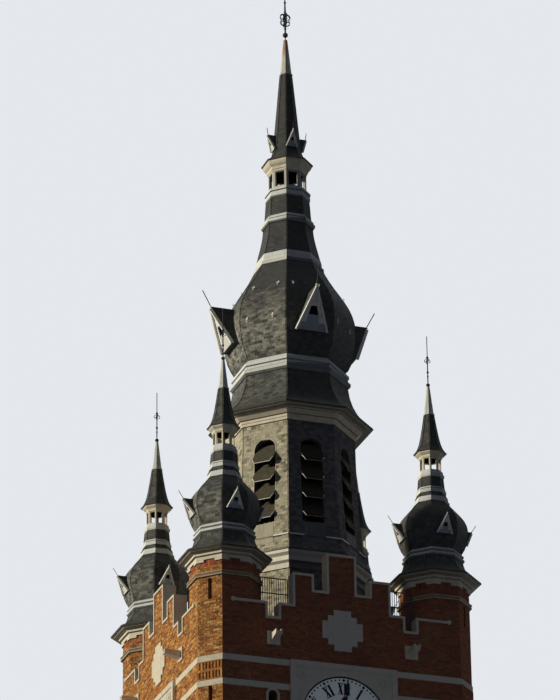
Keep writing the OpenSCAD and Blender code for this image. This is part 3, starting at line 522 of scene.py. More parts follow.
class Finish:
    """A material under construction, with short calls for its nodes."""

    def __init__(self, name, roughness=0.8, metallic=0.0, specular=0.4):
        self.material = bpy.data.materials.new(name)
        self.material.use_nodes = True
        self.nodes = self.material.node_tree.nodes
        self.links = self.material.node_tree.links
        self.shader = self.nodes["Principled BSDF"]
        self.shader.inputs["Roughness"].default_value = roughness
        self.shader.inputs["Metallic"].default_value = metallic
        self.shader.inputs["Specular IOR Level"].default_value = specular
        self.place = self.add("TexCoord").outputs["Object"]

    def feed(self, socket, value):
        """Links a socket to another one, or sets it to a number, to three factors or to a colour."""
        if isinstance(value, bpy.types.NodeSocket):
            self.links.new(value, socket)
        elif socket.type == "RGBA":
            socket.default_value = (*value, 1)
        else:
            socket.default_value = value

    def add(self, kind, **inputs):
        """A new node with its inputs fed; their names have _ for a space."""
        node = self.nodes.new("ShaderNode" + kind)
        for name, value in inputs.items():
            self.feed(node.inputs[name.replace("_", " ")], value)
        return node

    def axis(self, vector, name):
        """One of the three parts of a vector."""
        return self.add("SeparateXYZ", Vector=vector).outputs[name]

    def math(self, operation, a, b):
        node = self.add("Math")
        node.operation = operation
        self.feed(node.inputs[0], a)
        self.feed(node.inputs[1], b)
        return node.outputs["Value"]

    def times(self, a, b):
        return self.math("MULTIPLY", a, b)

    def noise(self, scale, detail=4, roughness=0.55, stretch=None):
        """Cloudy noise, or streaks and grain where its coordinates are stretched by three factors."""
        place = self.place
        if stretch:
            place = self.add("Mapping", Vector=place, Scale=stretch).outputs["Vector"]
        node = self.add("TexNoise", Vector=place, Scale=scale, Detail=detail, Roughness=roughness)
        return node.outputs["Fac"]

    def steps(self, value, lo, hi):
        """A value rising from 0 to 1 between lo and hi."""
        return self.add("MapRange", From_Min=lo, From_Max=hi, Value=value).outputs["Result"]

    def patches(self, scale, detail, roughness, lo, hi, stretch=None):
        """Noise turned into patches: 1 where it is above hi, and 0 where it is below lo."""
        return self.steps(self.noise(scale, detail, roughness, stretch), lo, hi)

    def ramp(self, value, stops):
        """Colours along a value: pairs of place and colour."""
        node = self.add("ValToRGB", Fac=value)
        elements = node.color_ramp.elements
        while len(elements) < len(stops):
            elements.new(0.5)
        for element, (place, tint) in zip(elements, stops):
            element.position = place
            element.color = (*tint, 1)
        return node.outputs["Color"]

    def mottled(self, noise, base, low, high, places=(0.3, 0.55, 0.8)):
        """A colour that wanders between a darker and a lighter shade of itself."""
        return self.ramp(noise, list(zip(places, (shade(base, low), base, shade(base, high)))))

    def mix(self, factor, a, b):
        node = self.add("Mix")
        node.data_type = "RGBA"
        for socket, value in ((node.inputs[0], factor), (node.inputs[6], a), (node.inputs[7], b)):
            self.feed(socket, value)
        return node.outputs[2]

    def veil(self, cover, strength, under, over):
        """Lays one colour over another where a cover says so, at a share of its strength."""
        return self.mix(self.times(cover, strength), under, over)

    def tone(self):
        """The tone of each brick or slate, from 0 to 1."""
        node = self.add("Attribute")
        node.attribute_name = "tone"
        return node.outputs["Fac"]

    def zones(self, levels):
        """A value along the height of the building: pairs of height in metres and value."""
        top = cad_box[1][2]
        return self.ramp(self.math("DIVIDE", self.axis(self.place, "Z"), top),
                         [(z / top, (v, v, v)) for z, v in levels])

    def outside_painted_shadow(self):
        """A value of 1 left of the right-hand turrets and 0 on them, which paints the tower's cast shadow
        over the right-hand turrets.
        """
        scale, middle, lit_up_to, shadowed_from = 0.1, 0.5, 2.0, 2.4
        across = self.math("ADD", self.times(self.axis(self.place, "X"), scale), middle)
        return self.ramp(across, [(middle + scale * lit_up_to, (1, 1, 1)),
                                  (middle + scale * shadowed_from, (0, 0, 0))])

    def painted_light_side(self):
        """A value from 0 to 1 on the faces that look left, towards the key light, which marks where light is
        painted into the colours.
        """
        normal = self.add("NewGeometry").outputs["Normal"]
        return self.steps(self.times(self.axis(normal, "X"), -1.0), 0.25, 0.55)

    def bump(self, height, distance, strength=0.6):
        node = self.add("Bump", Distance=distance, Strength=strength, Height=height)
        self.links.new(node.outputs["Normal"], self.shader.inputs["Normal"])

    def paint(self, colour_socket):
        self.links.new(colour_socket, self.shader.inputs["Base Color"])
        return self.material

    def paint_sides(self, shaded, sunny):
        """Paints the faces that look left with a lit colour and all other faces with a shaded one, as
        painted light and shade.
        """
        return self.paint(self.mix(self.painted_light_side(), shaded, sunny))


def shade(base, factor, warm=0.0):
    """A colour made darker or lighter, and warmer or cooler."""
    return tuple(min(1.0, max(0.0, c * factor * (1 + w))) for c, w in zip(base, (warm, 0, -warm)))


def finish_brick():
    """Weathered bricks with painted sunlight, warm and speckled, on the faces that look left outside the
    painted cast shadow, and painted shade, red and bluer, elsewhere.
    """
    f = Finish("brick", roughness=0.9, specular=0.12)
    base = chosen("brick")
    red, green, blue = shade(base, 1.35, -0.15)
    fired = f.ramp(f.tone(), [(0.0, (0.16, 0.058, 0.036)), (0.2, shade(base, 0.7)), (0.5, base),
                              (0.85, shade(base, 1.15, 0.05)), (1.0, (red, green * 1.3, blue * 1.4))])
    worn = f.mix(f.patches(27, 4, 0.65, 0.56, 0.62), fired, (0.70, 0.43, 0.11))
    worn = f.mix(f.patches(17, 4, 0.65, 0.60, 0.68), worn, shade(base, 0.3, 0.1))
    stained = f.veil(f.patches(0.55, 5, 0.6, 0.38, 0.66), 0.38, worn, (0.11, 0.06, 0.035))
    speckled = f.ramp(f.tone(), [(0.0, (0.11, 0.042, 0.016)), (0.3, (0.24, 0.09, 0.026)),
                                 (0.65, (0.36, 0.145, 0.036)), (0.9, (0.48, 0.235, 0.06)),
                                 (1.0, (0.68, 0.44, 0.16))])
    flecks = f.mix(f.patches(15, 4, 0.7, 0.57, 0.61), speckled, (0.80, 0.55, 0.20))
    # Painted sunlight: a warm copy with bright flecks for the lit faces; painted shade: a bluer red copy for
    # the others.
    sunlit = f.mix(0.62, stained, flecks)
    shaded = f.mix(0.4, stained, (0.36, 0.115, 0.105))
    f.bump(f.noise(70, 4), 0.003, 0.35)
    return f.paint(f.mix(f.times(f.painted_light_side(), f.outside_painted_shadow()), shaded, sunlit))


def finish_red_brick():
    f = Finish("red_brick", roughness=0.9, specular=0.12)
    fired = f.ramp(f.tone(), [(0.0, (0.17, 0.05, 0.03)), (0.5, (0.36, 0.105, 0.045)),
                              (1.0, (0.52, 0.20, 0.085))])
    worn = f.mix(f.patches(17, 4, 0.65, 0.60, 0.70), fired, (0.12, 0.045, 0.03))
    f.bump(f.noise(70, 4), 0.003, 0.35)
    # The faces that do not look left get a bluer copy, as painted shade.
    return f.paint_sides(f.mix(0.4, worn, (0.36, 0.10, 0.10)), worn)


def finish_mortar():
    f = Finish("mortar", roughness=0.95, specular=0.1)
    sandy = f.mottled(f.noise(30, 6), chosen("mortar"), 0.6, 1.2)
    f.bump(f.noise(160, 5), 0.003)
    return f.paint(f.veil(f.patches(0.55, 5, 0.6, 0.38, 0.66), 0.4, sandy, (0.12, 0.085, 0.055)))


def finish_stone():
    """Dressed stone with dark streaks; the faces that do not look left are painted paler, as painted fill
    light.
    """
    f = Finish("dressed_stone", roughness=0.85, specular=0.2)
    base = chosen("stone")
    grain = f.ramp(f.noise(9, 6, 0.6), [(0.25, shade(base, 0.72)), (0.5, base),
                                        (0.8, shade(base, 1.15, 0.03))])
    streaks = f.patches(1.0, 6, 0.7, 0.52, 0.72, (5.0, 5.0, 0.35))
    streaked = f.veil(streaks, 0.45, grain, (0.17, 0.15, 0.11))
    f.bump(f.noise(70, 6), 0.004)
    return f.paint_sides(f.mix(0.55, streaked, (0.92, 0.86, 0.76)), streaked)


def finish_roof_slate():
    """Dark slates with pale growth on the bellies of the bulbs, kept mostly to the lit faces as partly
    painted light, and pale runs under the metal bands.
    """
    f = Finish("roof_slate", roughness=0.7, specular=0.05)
    base = chosen("roof_slate")
    riven = f.ramp(f.tone(), [(0.0, shade(base, 0.75)), (0.5, base), (0.94, shade(base, 1.15)),
                              (1.0, shade(base, 1.6, 0.05))])
    weathered = f.mix(f.patches(0.8, 5, 0.65, 0.42, 0.72), riven, shade(base, 1.25, 0.06))
    bellies = f.zones([(9.2, 0.1), (9.6, 0.6), (10.5, 0.5), (11.0, 0.1),
                       (16.9, 0.3), (17.1, 1.0), (17.9, 0.95), (18.7, 0.4), (19.4, 0.2), (19.6, 0.0)])
    # The growth is kept to the faces that look left and out of the painted cast shadow, which is partly
    # painted light.
    sunny = f.times(f.painted_light_side(), f.math("ADD", f.times(f.outside_painted_shadow(), 0.7), 0.15))
    growth_and_painted_light = f.times(bellies, f.math("ADD", sunny, 0.15))
    clouds = f.times(f.noise(4.5, 7, 0.72, (1, 1, 2.2)), 0.72)
    growth = f.steps(f.math("ADD", clouds, f.times(f.tone(), 0.22)), 0.35, 0.66)
    grown = f.veil(f.times(growth, growth_and_painted_light), 0.95, weathered, (0.44, 0.43, 0.36))
    specks = f.times(f.patches(11, 5, 0.7, 0.60, 0.68), growth_and_painted_light)
    specked = f.veil(specks, 0.8, grown, (0.42, 0.39, 0.30))
    below_bands = f.zones([(8.6, 0.0), (9.15, 1.0), (9.3, 0.0), (16.05, 0.0), (16.55, 1.0), (16.8, 0.0)])
    runs = f.times(f.patches(1.0, 5, 0.7, 0.50, 0.68, (16, 16, 1.2)), below_bands)
    f.bump(f.noise(30, 3), 0.002, 0.2)
    return f.paint(f.veil(runs, 0.6, specked, (0.36, 0.36, 0.33)))


def finish_wall_slate():
    """Slates of the drum: a pale, lichen-grown lit copy on the faces that look left and a darker grey copy
    elsewhere, as painted light and shade.
    """
    f = Finish("wall_slate", roughness=0.85, specular=0.06)
    base = chosen("wall_slate")
    plain = f.ramp(f.tone(), [(0.0, (0.10, 0.098, 0.11)), (0.5, (0.145, 0.138, 0.15)),
                              (1.0, (0.205, 0.195, 0.20))])
    riven = f.ramp(f.tone(), [(0.0, shade(base, 0.35)), (0.14, shade(base, 0.65)), (0.4, base),
                              (0.85, shade(base, 1.25)), (1.0, shade(base, 1.6))])
    lichen = f.mix(f.patches(14, 6, 0.7, 0.54, 0.64), riven, (0.55, 0.50, 0.38))
    pitted = f.veil(f.patches(19, 5, 0.75, 0.56, 0.62), 0.75, lichen, (0.11, 0.095, 0.07))
    soot = f.patches(1.2, 5, 0.65, 0.55, 0.75)
    f.bump(f.noise(30, 3), 0.002, 0.25)
    # The first colour is a dark grey copy as painted shade; the second is a pale lichen-grown copy as
    # painted light.
    return f.paint_sides(f.veil(soot, 0.4, plain, (0.05, 0.05, 0.055)),
                         f.veil(soot, 0.4, pitted, shade(base, 0.4)))


def finish_sheet(name, base, metallic=0.0, roughness=0.6):
    """Weathered sheet metal with runs of dirt."""
    f = Finish(name, roughness=roughness, metallic=metallic, specular=0.15)
    sheet = f.mottled(f.noise(3, 5, 0.6), base, 0.75, 1.2)
    f.bump(f.noise(6, 4), 0.004, 0.4)
    return f.paint(f.veil(f.patches(1.0, 5, 0.65, 0.5, 0.72, (9, 9, 0.6)), 0.5, sheet, shade(base, 0.32)))


def finish_paint(name, base):
    """Old paint on boards, worn and streaked with dirt."""
    f = Finish(name, roughness=0.65, specular=0.2)
    aged = f.mottled(f.noise(4, 6, 0.6), base, 0.82, 1.1)
    f.bump(f.noise(35, 4), 0.002, 0.4)
    return f.paint(f.veil(f.patches(1.0, 6, 0.7, 0.55, 0.75, (7, 7, 0.5)), 0.45, aged, (0.22, 0.19, 0.13)))


def finish_sides(name, sunny, shaded):
    """Streaked cladding with a pale lit copy on the faces that look left and a darker copy on the other
    sides, as painted light and shade.
    """
    f = Finish(name, roughness=0.7, specular=0.12)
    dirt = f.patches(1.0, 6, 0.7, 0.5, 0.74, (8, 8, 0.6))
    f.bump(f.noise(8, 4), 0.003, 0.4)
    return f.paint_sides(f.veil(dirt, 0.4, shaded, shade(shaded, 0.5)),
                         f.veil(dirt, 0.45, sunny, shade(sunny, 0.4)))


def finish_zinc():
    zinc = chosen("zinc")
    # The faces that look left get a brighter copy of the zinc, as painted light.
    return finish_sides("zinc_sheet", shade(zinc, 1.3), zinc)


def finish_cream():
    return finish_paint("cream_paint", chosen("cream"))


def finish_cap():
    """Pale sheet of the spire's cone, rusty towards its tip."""
    f = Finish("cap_metal", roughness=0.6, specular=0.15)
    sheet = f.mottled(f.noise(3, 5, 0.6), chosen("cap"), 0.75, 1.2)
    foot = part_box("spire_finial")[0].z
    rise = SPIRE_CONE_TOP - foot
    rust = f.times(f.zones([(foot + 0.45 * rise, 0.0), (foot + 0.75 * rise, 0.8)]),
                   f.math("ADD", f.times(f.noise(5, 4), 0.6), 0.6))
    f.bump(f.noise(6, 4), 0.004, 0.4)
    return f.paint(f.mix(rust, sheet, (0.34, 0.15, 0.07)))


def finish_iron():
    f = Finish("painted_iron", roughness=0.6, specular=0.15)
    f.bump(f.noise(60, 4), 0.001, 0.4)
    return f.paint(f.mix(f.patches(8, 5, 0.55, 0.58, 0.72), chosen("iron"), (0.10, 0.045, 0.025)))


def finish_dial():
    f = Finish("dial_enamel", roughness=0.35, specular=0.85)
    base = chosen("dial")
    cloudy = f.mottled(f.noise(2.2, 5), base, 0.86, 1.08, (0.3, 0.6, 0.8))
    return f.paint(f.veil(f.patches(1.0, 4, 0.6, 0.56, 0.74, (10, 10, 0.7)), 0.3, cloudy, shade(base, 0.5)))


def finish_grain(name, roughness, specular, grain, stops):
    """Colours that follow a grain, given by its scale, detail, roughness and stretch."""
    f = Finish(name, roughness=roughness, specular=specular)
    return f.paint(f.ramp(f.noise(*grain), stops))


def finish_louvre():
    f = Finish("louvre_slate", roughness=0.85, specular=0.04)
    aged = f.ramp(f.noise(7, 6, 0.6, (1, 1, 3)),
                  [(0.3, (0.05, 0.044, 0.033)), (0.6, (0.105, 0.094, 0.066)), (0.85, (0.16, 0.145, 0.10))])
    f.bump(f.noise(30, 5), 0.003)
    # The faces that do not look left are painted nearly black, as painted shade.
    return f.paint_sides(f.mix(0.75, aged, (0.026, 0.023, 0.022)), aged)


def finish_apron():
    """Sheet under the belfry windows: a pale lit copy on the faces that look left and a dark copy elsewhere,
    as painted light and shade.
    """
    f = Finish("apron_sheet", roughness=0.7, specular=0.1)
    runs = f.patches(1.0, 5, 0.65, 0.45, 0.72, (9, 9, 0.6))
    f.bump(f.noise(6, 4), 0.004, 0.4)
    return f.paint_sides(f.mix(runs, (0.15, 0.155, 0.17), (0.08, 0.08, 0.09)),
                         f.veil(runs, 0.6, (0.46, 0.43, 0.33), (0.20, 0.18, 0.13)))


# Each finish by its maker, with the values that a shared maker takes
MAKERS = {
    "apron": (finish_apron,), "brick": (finish_brick,), "cap": (finish_cap,), "cream": (finish_cream,),
    "dial": (finish_dial,), "iron": (finish_iron,), "louvre": (finish_louvre,), "mortar": (finish_mortar,),
    "red_brick": (finish_red_brick,), "roof_slate": (finish_roof_slate,), "stone": (finish_stone,),
    "wall_slate": (finish_wall_slate,), "zinc": (finish_zinc,),
    "black": (finish_grain, "black_paint", 0.6, 0.06, (12, 4),
              [(0.3, (0.006, 0.007, 0.009)), (0.7, (0.018, 0.02, 0.026))]),
    "boards": (finish_grain, "floor_boards", 0.75, 0.4, (6, 6, 0.6, (1, 14, 14)),
               [(0.3, (0.12, 0.085, 0.055)), (0.6, (0.25, 0.19, 0.125)), (0.8, (0.34, 0.27, 0.18))]),
    "dark": (finish_grain, "dark_inside", 0.9, 0.1, (5, 4),
             [(0.3, (0.012, 0.010, 0.008)), (0.7, (0.035, 0.028, 0.02))]),
    "bronze": (finish_sheet, "bell_bronze", (0.16, 0.13, 0.07), 0.7, 0.45),
    "cone": (finish_sheet, "cone_sheet", (0.62, 0.63, 0.58)),
    "lead": (finish_sheet, "lead_sheet", (0.24, 0.25, 0.25)),
    "zinc_dark": (finish_sheet, "zinc_undersides", (0.20, 0.21, 0.21)),
    "oak": (finish_paint, "old_oak", (0.075, 0.055, 0.038)),
    "reveal": (finish_paint, "reveal_paint", (0.12, 0.105, 0.08)),
    "soffit": (finish_paint, "soffit_paint", (0.24, 0.215, 0.165)),
    "string": (finish_paint, "string_stone", (0.20, 0.145, 0.095)),
    "string_edge": (finish_paint, "string_edge_stone", (0.42, 0.34, 0.235)),
    "white": (finish_paint, "white_paint", (0.84, 0.83, 0.77)),
    # These cladding finishes are lit and shaded copies: painted light on the faces that look left and
    # painted shade on the others.
    "bead": (finish_sides, "board_beads", (0.80, 0.78, 0.70), (0.26, 0.27, 0.29)),
    "edging": (finish_sides, "window_edging", (0.60, 0.57, 0.46), (0.13, 0.13, 0.135)),
    "foot": (finish_sides, "foot_boards", (0.74, 0.70, 0.58), (0.11, 0.12, 0.145)),
    "head": (finish_sides, "head_boards", (0.82, 0.79, 0.68), (0.52, 0.52, 0.50)),
    "lantern": (finish_sides, "lantern_boards", (0.54, 0.53, 0.46), (0.34, 0.36, 0.36)),
    "panel": (finish_sides, "grey_paint", (0.66, 0.66, 0.62), (0.38, 0.41, 0.45)),
    "zinc_low": (finish_sides, "zinc_lower_strip", (0.66, 0.67, 0.63), (0.13, 0.14, 0.16)),
}

# Finishes of the slots whose finish has another name
SLOT_FINISH = {"brick": "mortar", "hand": "black", "floor_timber": "boards", "roof_lead": "lead",
               "cream_paint": "cream", "finial_metal": "cap"}

FINISHES = {}


def finish(name):
    """The named finish, made at its first use."""
    if name not in FINISHES:
        maker, *values = MAKERS[name]
        FINISHES[name] = maker(*values)
    return FINISHES[name]


def recoat(node, name, test=lambda centre, normal: True):
    """Gives another finish to the faces of a node whose centre and normal pass a test."""
    mesh = frame["nodes"][node].data
    mesh.materials.append(finish(name))
    place = len(mesh.materials) - 1
    for polygon in mesh.polygons:
        if test(polygon.center, polygon.normal):
            polygon.material_index = place


def looking_in(axes=((0, 0),)):
    """A test for the faces that look in towards their nearest axis."""
    return lambda centre, normal: normal.dot(away_from(centre, axes)) < -0.5


class TOWER_OT_dress(bpy.types.Operator):
    """Gives every node of the frame its finish"""
    bl_idname = "tower.dress"
    bl_label = "Dress the frame"

    def execute(self, context):
        for row in frame["record"]["subparts"]:
            node, slot = frame["nodes"][row["node"]], row["material_slot"]
            node.data.materials.clear()
            node.data.materials.append(finish(SLOT_FINISH.get(slot, slot)))
        underside, sloping, across, margin = -0.9, -0.35, 0.5, 0.02
        # Downward faces of the cornices and roofs get a dark brown finish, which is partly painted shade.
        for node in ("main_cornice", "main_skirt", "main_spire", "turret_cornices", "turret_roofs",
                     "turret_spirelets"):
            recoat(node, "soffit", lambda centre, normal: normal.z < underside)
        # Faces that look in towards the axis are painted nearly black, as painted shade, so the inside reads
        # dark.
        for node in ("belfry_drum", "main_lantern", "lantern_cornice"):
            recoat(node, "dark", looking_in())
        recoat("turret_lanterns", "dark", looking_in(turret_axes()))
        # The window reveals of the drum get a dark paint, as painted shade.
        recoat("belfry_drum", "reveal", lambda centre, normal: abs(normal.dot(away_from(centre))) < across
               and WINDOW[1] - margin < centre.z < WINDOW[2] + margin)
        recoat("lantern_sill", "zinc")
        # Outer faces of the main lantern get a lit and a shaded copy, as painted light and shade.
        inside = looking_in()
        recoat("main_lantern", "lantern", lambda centre, normal: not inside(centre, normal))
        # Lower strips of the bands and of the lower cornice get copies that are dark off the lit faces, as
        # painted shade.
        for node, name, share in (("neck_band", "zinc_low", 0.48), ("bulb_top_band", "zinc_low", 0.35),
                                  ("roof_ring", "zinc_low", 0.35), ("lower_cornice", "head", 1.0),
                                  ("lower_cornice", "foot", 0.45)):
            levels = [vertex.co.z for vertex in frame["nodes"][node].data.vertices]
            level = min(levels) + share * (max(levels) - min(levels))
            recoat(node, name, lambda centre, normal: centre.z < level)
        recoat("turret_lanterns", "zinc", lambda centre, normal: centre.z < TURRET_LANTERN_FOOT)
        # Downward faces of the metal bands are painted dark, as painted shade.
        for node in ("neck_band", "bulb_top_band", "roof_ring", "lantern_sill", "turret_bands"):
            recoat(node, "zinc_dark", lambda centre, normal: normal.z < sloping)
        recoat("string_courses", "string")
        recoat("turret_finials", "cone")
        for node, top in (("spire_finial", SPIRE_CONE_TOP), ("turret_finials", TURRET_CONE_TOP)):
            recoat(node, "iron", lambda centre, normal: centre.z > top)
        return {"FINISHED"}


# Walls and roofs

class TOWER_OT_bricks(bpy.types.Operator):
    """Lays the bricks of the walls, parapets and turret shafts"""
    bl_idname = "tower.bricks"
    bl_label = "Lay bricks"

    def execute(self, context):
        probe = Probe()
        seed = settings().bricks.seed
        railings = ("parapet_railings",)
        low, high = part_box("front_wall")
        face, half = -low.y, high.x
        inside = -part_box("roof_walk")[0].y
        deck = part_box("roof_walk")[1].z
        for side, angle in SIDES.items():
            node = side + "_wall"
            bricks = Blocks(np.random.RandomState(seed + angle))
            outer = upright(angle, probe=probe, nodes={node}, start=0.8, reach=1.5)
            brick_face((outer, face, -half, half), 0, high.z, bricks)
            inner = upright(angle + 180, probe=probe, nodes={node}, start=0.4, reach=1.0, ignore=railings)
            brick_face((inner, -inside, -half, half), deck, high.z, bricks)
            bricks.piece(node + "_bricks", "brick", "brick")
        for name in TURRETS:
            node = name + "_shaft"
            low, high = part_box(node)
            apothem = (high.x - low.x) / 2
            half_side = apothem * OCTAGON_SLOPE
            bricks = Blocks(np.random.RandomState(seed + len(name)))
            upended = Blocks(bricks.rng)
            for angle in EIGHTHS:
                facet = upright(angle, turret_axis(name), probe=probe, nodes={node}, start=1.2, reach=1.6,
                                ignore=railings)
                field = (facet, apothem, -half_side, half_side)
                brick_face(field, 0, LATTICE[0], bricks)
                if angle % 90:
                    lattice(field, bricks)
                else:
                    brick_face(field, *LATTICE, bricks)
                brick_face(field, LATTICE[1], high.z - UPENDED_HEIGHT, bricks)
                upended_bricks(field, high.z, upended)
            bricks.piece(node + "_bricks", "brick", "brick")
            upended.piece(node + "_upended_bricks", "red_brick", "brick")
        return {"FINISHED"}


class TOWER_OT_slates(bpy.types.Operator):
    """Hangs the slates of the drum, the main roof and the turret roofs"""
    bl_idname = "tower.slates"
    bl_label = "Hang slates"

    def execute(self, context):
        probe = Probe()
        rings = {"drum_base": "wall_slate", "belfry_drum": "wall_slate", "main_skirt": "roof_slate",
                 "main_bulb": "roof_slate", "upper_roof": "roof_slate", "main_spire": "roof_slate"}
        for node, kind in rings.items():
            slates = Blocks()
            slate_ring(probe, node, slates, u=BESIDE_WINDOWS if node == "belfry_drum" else 0.0)
            slates.piece(node + "_slates", kind, kind)
        for name in TURRETS:
            slates = Blocks()
            for node in ("turret_roofs", "turret_spirelets"):
                slate_ring(probe, node, slates, turret_axis(name))
            slates.piece(name + "_turret_slates", "roof_slate", "roof_slate")
        return {"FINISHED"}


class Gablet:
    """The leaning front of a gablet: u runs across it, z up its slope from the foot, depth out of it."""

    def __init__(self, angle, axis, half_width, foot, apex):
        side = upright(angle, axis)
        out, rise = apex[0] - foot[0], apex[1] - foot[1]
        self.half, self.slope = half_width, math.hypot(out, rise)
        up_slope = (side.out * out + UP * rise) / self.slope
        off_slope = (side.out * rise - UP * out) / self.slope
        self.facet = Facet(side.point(0, foot[1], foot[0]), side.across, up_slope, off_slope)
        self.side, self.foot, self.apex = side, foot, apex

    def edge(self, z):
        """Half the width of the front at a height on its slope."""
        return self.half * (1 - z / self.slope)

    def cheek(self, sign, reading):
        """The slated roof slope on one side, with u running in from the front."""
        rise = self.apex[1] - self.foot[1]
        slant = math.hypot(self.half, rise)
        up = (UP * rise - self.side.across * sign * self.half) / slant
        out = (UP * self.half + self.side.across * sign * rise) / slant
        across = -self.side.out if sign > 0 else self.side.out
        return Facet(self.side.point(sign * self.half, self.foot[1], 0), across, up, out, **reading), slant


# Gablets of each node: their axes, half width, foot and apex as (reach, height), board width and thickness
GABLETS = (
    ("main_gablets", lambda: [(0, 0)], 0.56, (2.218, 17.651), (2.818, 19.101), 0.065, 0.022),
    ("spire_gablets", lambda: [(0, 0)], 0.20, (0.5, 25.431), (0.7, 26.011), 0.035, 0.012),
    ("turret_gablets", turret_axes, 0.27, (1.0813, 9.8206), (1.3829, 10.4006), 0.042, 0.014),
)


def boarded_front(gablet, board, proud, panels, boards):
    """A gablet front: a foot panel, a frame round the opening, barge boards and a knob at the peak."""
    facet, edge, slope, half = gablet.facet, gablet.edge, gablet.slope, gablet.half
    low, sill, head, top = 0.16 * slope, 0.33 * slope, 0.52 * slope, 0.95 * slope
    tip, rail, back = 0.05 * half, 0.6 * board, -0.01

    def jamb(z):
        """Half the width between the two sides of the frame."""
        return half * (0.19 + 0.12 * (head - z) / (head - sill))

    def band(wide0, z0, wide1, z1):
        """Outline from its half widths at two heights."""
        return [(-wide0, z0), (wide0, z0), (wide1, z1), (-wide1, z1)]

    panels.prism(facet, band(edge(0), 0, edge(low), low), back, 0.6 * proud)
    panels.prism(facet, band(jamb(low), low, jamb(sill), sill), back, 0.3 * proud)
    for sign in (-1, 1):
        boards.prism(facet, [(sign * edge(low), low), (sign * jamb(low), low), (sign * jamb(head), head),
                             (sign * edge(head), head)], back, proud)
        lean = math.hypot(half, slope)
        inward = Vector((-sign * slope / lean, -half / lean)) * board
        foot, peak = Vector((sign * (half + 0.25 * board), -0.3 * board)), Vector((sign * tip, top))
        barge = [foot, peak, peak + inward, foot + inward]
        boards.prism(facet, barge, -0.5 * proud, 4.6 * proud)
    boards.prism(facet, band(edge(head), head, tip, top), back, proud)
    panels.prism(facet, band(edge(0), -0.4 * rail, edge(rail), rail), -0.5 * proud, 1.6 * proud)
    knob = [facet.point(0, top + board * k, 0.5 * proud) for k in (-0.6, 0, 0.5, 0.9, 1.4)]
    boards.rod(knob, [board * k for k in (0.35, 0.35, 0.62, 0.62, 0.2)])


def slate_cheeks(gablet, reading, blocks):
    """Slates on both roof slopes of a gablet."""
    behind, before, gap = 1.2, 0.05, 0.001
    for sign in (-1, 1):
        facet, slant = gablet.cheek(sign, reading)
        count = int(slant / settings().slates.gauge)
        courses = [(slant * k / count + gap, 0.0, slant * (k + 1) / count, 0.0) for k in range(count)]
        near, far = gablet.foot[0] - behind, gablet.apex[0] + before
        reach = (-far, -near) if sign > 0 else (near, far)
        slate_facet(facet, courses, blocks, lambda depth: reach)


class TOWER_OT_gablets(bpy.types.Operator):
    """Boards the fronts of the gablets and slates their sides"""
    bl_idname = "tower.gablets"
    bl_label = "Dress gablets"

    def execute(self, context):
        probe = Probe()
        for node, axes, half, foot, apex, board, proud in GABLETS:
            panels, boards = Solids(), Solids()
            slates = Blocks(np.random.RandomState(settings().slates.seed))
            reading = {"probe": probe, "nodes": {node}, "start": 0.15, "reach": 0.3}
            for axis in axes():
                for angle in QUARTERS:
                    gablet = Gablet(angle, axis, half, foot, apex)
                    boarded_front(gablet, board, proud, panels, boards)
                    slate_cheeks(gablet, reading, slates)
            panels.piece(node + "_panels", "panel", "cream_paint")
            boards.piece(node + "_boards", "white", "cream_paint")
            slates.piece(node + "_slates", "roof_slate", "roof_slate")
        return {"FINISHED"}


# Clock faces

def turned(u, z, angle):
    """A point turned clockwise by some degrees about the middle of a dial."""
    turn = math.radians(angle)
    return u * math.cos(turn) + z * math.sin(turn), z * math.cos(turn) - u * math.sin(turn)


def numeral(text, foot, head):
    """Outlines of the strokes of a Roman numeral that is centred on u = 0."""
    thick, thin, serif, gap, overhang = 0.074, 0.028, 0.022, 0.026, 0.008
    widths = {"I": thick + 0.016, "V": 0.175, "X": 0.175}
    strokes = []

    def stroke(u0, u1, width):
        half = width / 2
        strokes.append([(u0 - half, foot), (u0 + half, foot), (u1 + half, head), (u1 - half, head)])

    left = -(sum(widths[letter] for letter in text) + gap * (len(text) - 1)) / 2
    for letter in text:
        right = left + widths[letter]
        middle = (left + right) / 2
        if letter == "I":
            stroke(middle, middle, thick)
        elif letter == "V":
            stroke(middle, left + thick / 2, thick)
            stroke(middle, right - thin / 2, thin)
        else:
            stroke(right - thick / 2, left + thick / 2, thick)
            stroke(left + thin / 2, right - thin / 2, thin)
        for z in (head - serif,) if letter == "V" else (foot, head - serif):
            strokes.append(rectangle(left - overhang, right + overhang, z, z + serif))
        left = right + gap
    return strokes


def dial_marks(solids, facet, middle, radius, near):
    """Rim, minute dots, five-minute lozenges and numerals of one dial."""
    back, front = near - 0.002, near + 0.003
    rim_parts, inner, outer = 96, radius - 0.05, radius - 0.001
    dot, track, foot, head = 0.03, 1.335, 0.85, 1.235
    dots = [(dot * c, track + dot * s) for c, s in circle(10)]
    lozenge = [(0, 1.262), (0.05, track), (0, 1.39), (-0.05, track)]

    def mark(outline, angle):
        solids.prism(facet, [(u, middle + z) for u, z in (turned(*p, angle) for p in outline)], back, front)

    rim = []
    for i in range(rim_parts):
        across, rise = turned(0, 1, 360 * i / rim_parts)
        rim.append([facet.point(across * r, middle + rise * r, depth)
                    for r, depth in ((inner, back), (inner, front), (outer, front), (outer, back))])
    solids.sweep(rim, closed=True)
    for minute in range(60):
        mark(dots if minute % 5 else lozenge, 6 * minute)
    for hour, text in enumerate(NUMERALS):
        for outline in numeral(text, foot, head):
            mark(outline, 30 * hour)


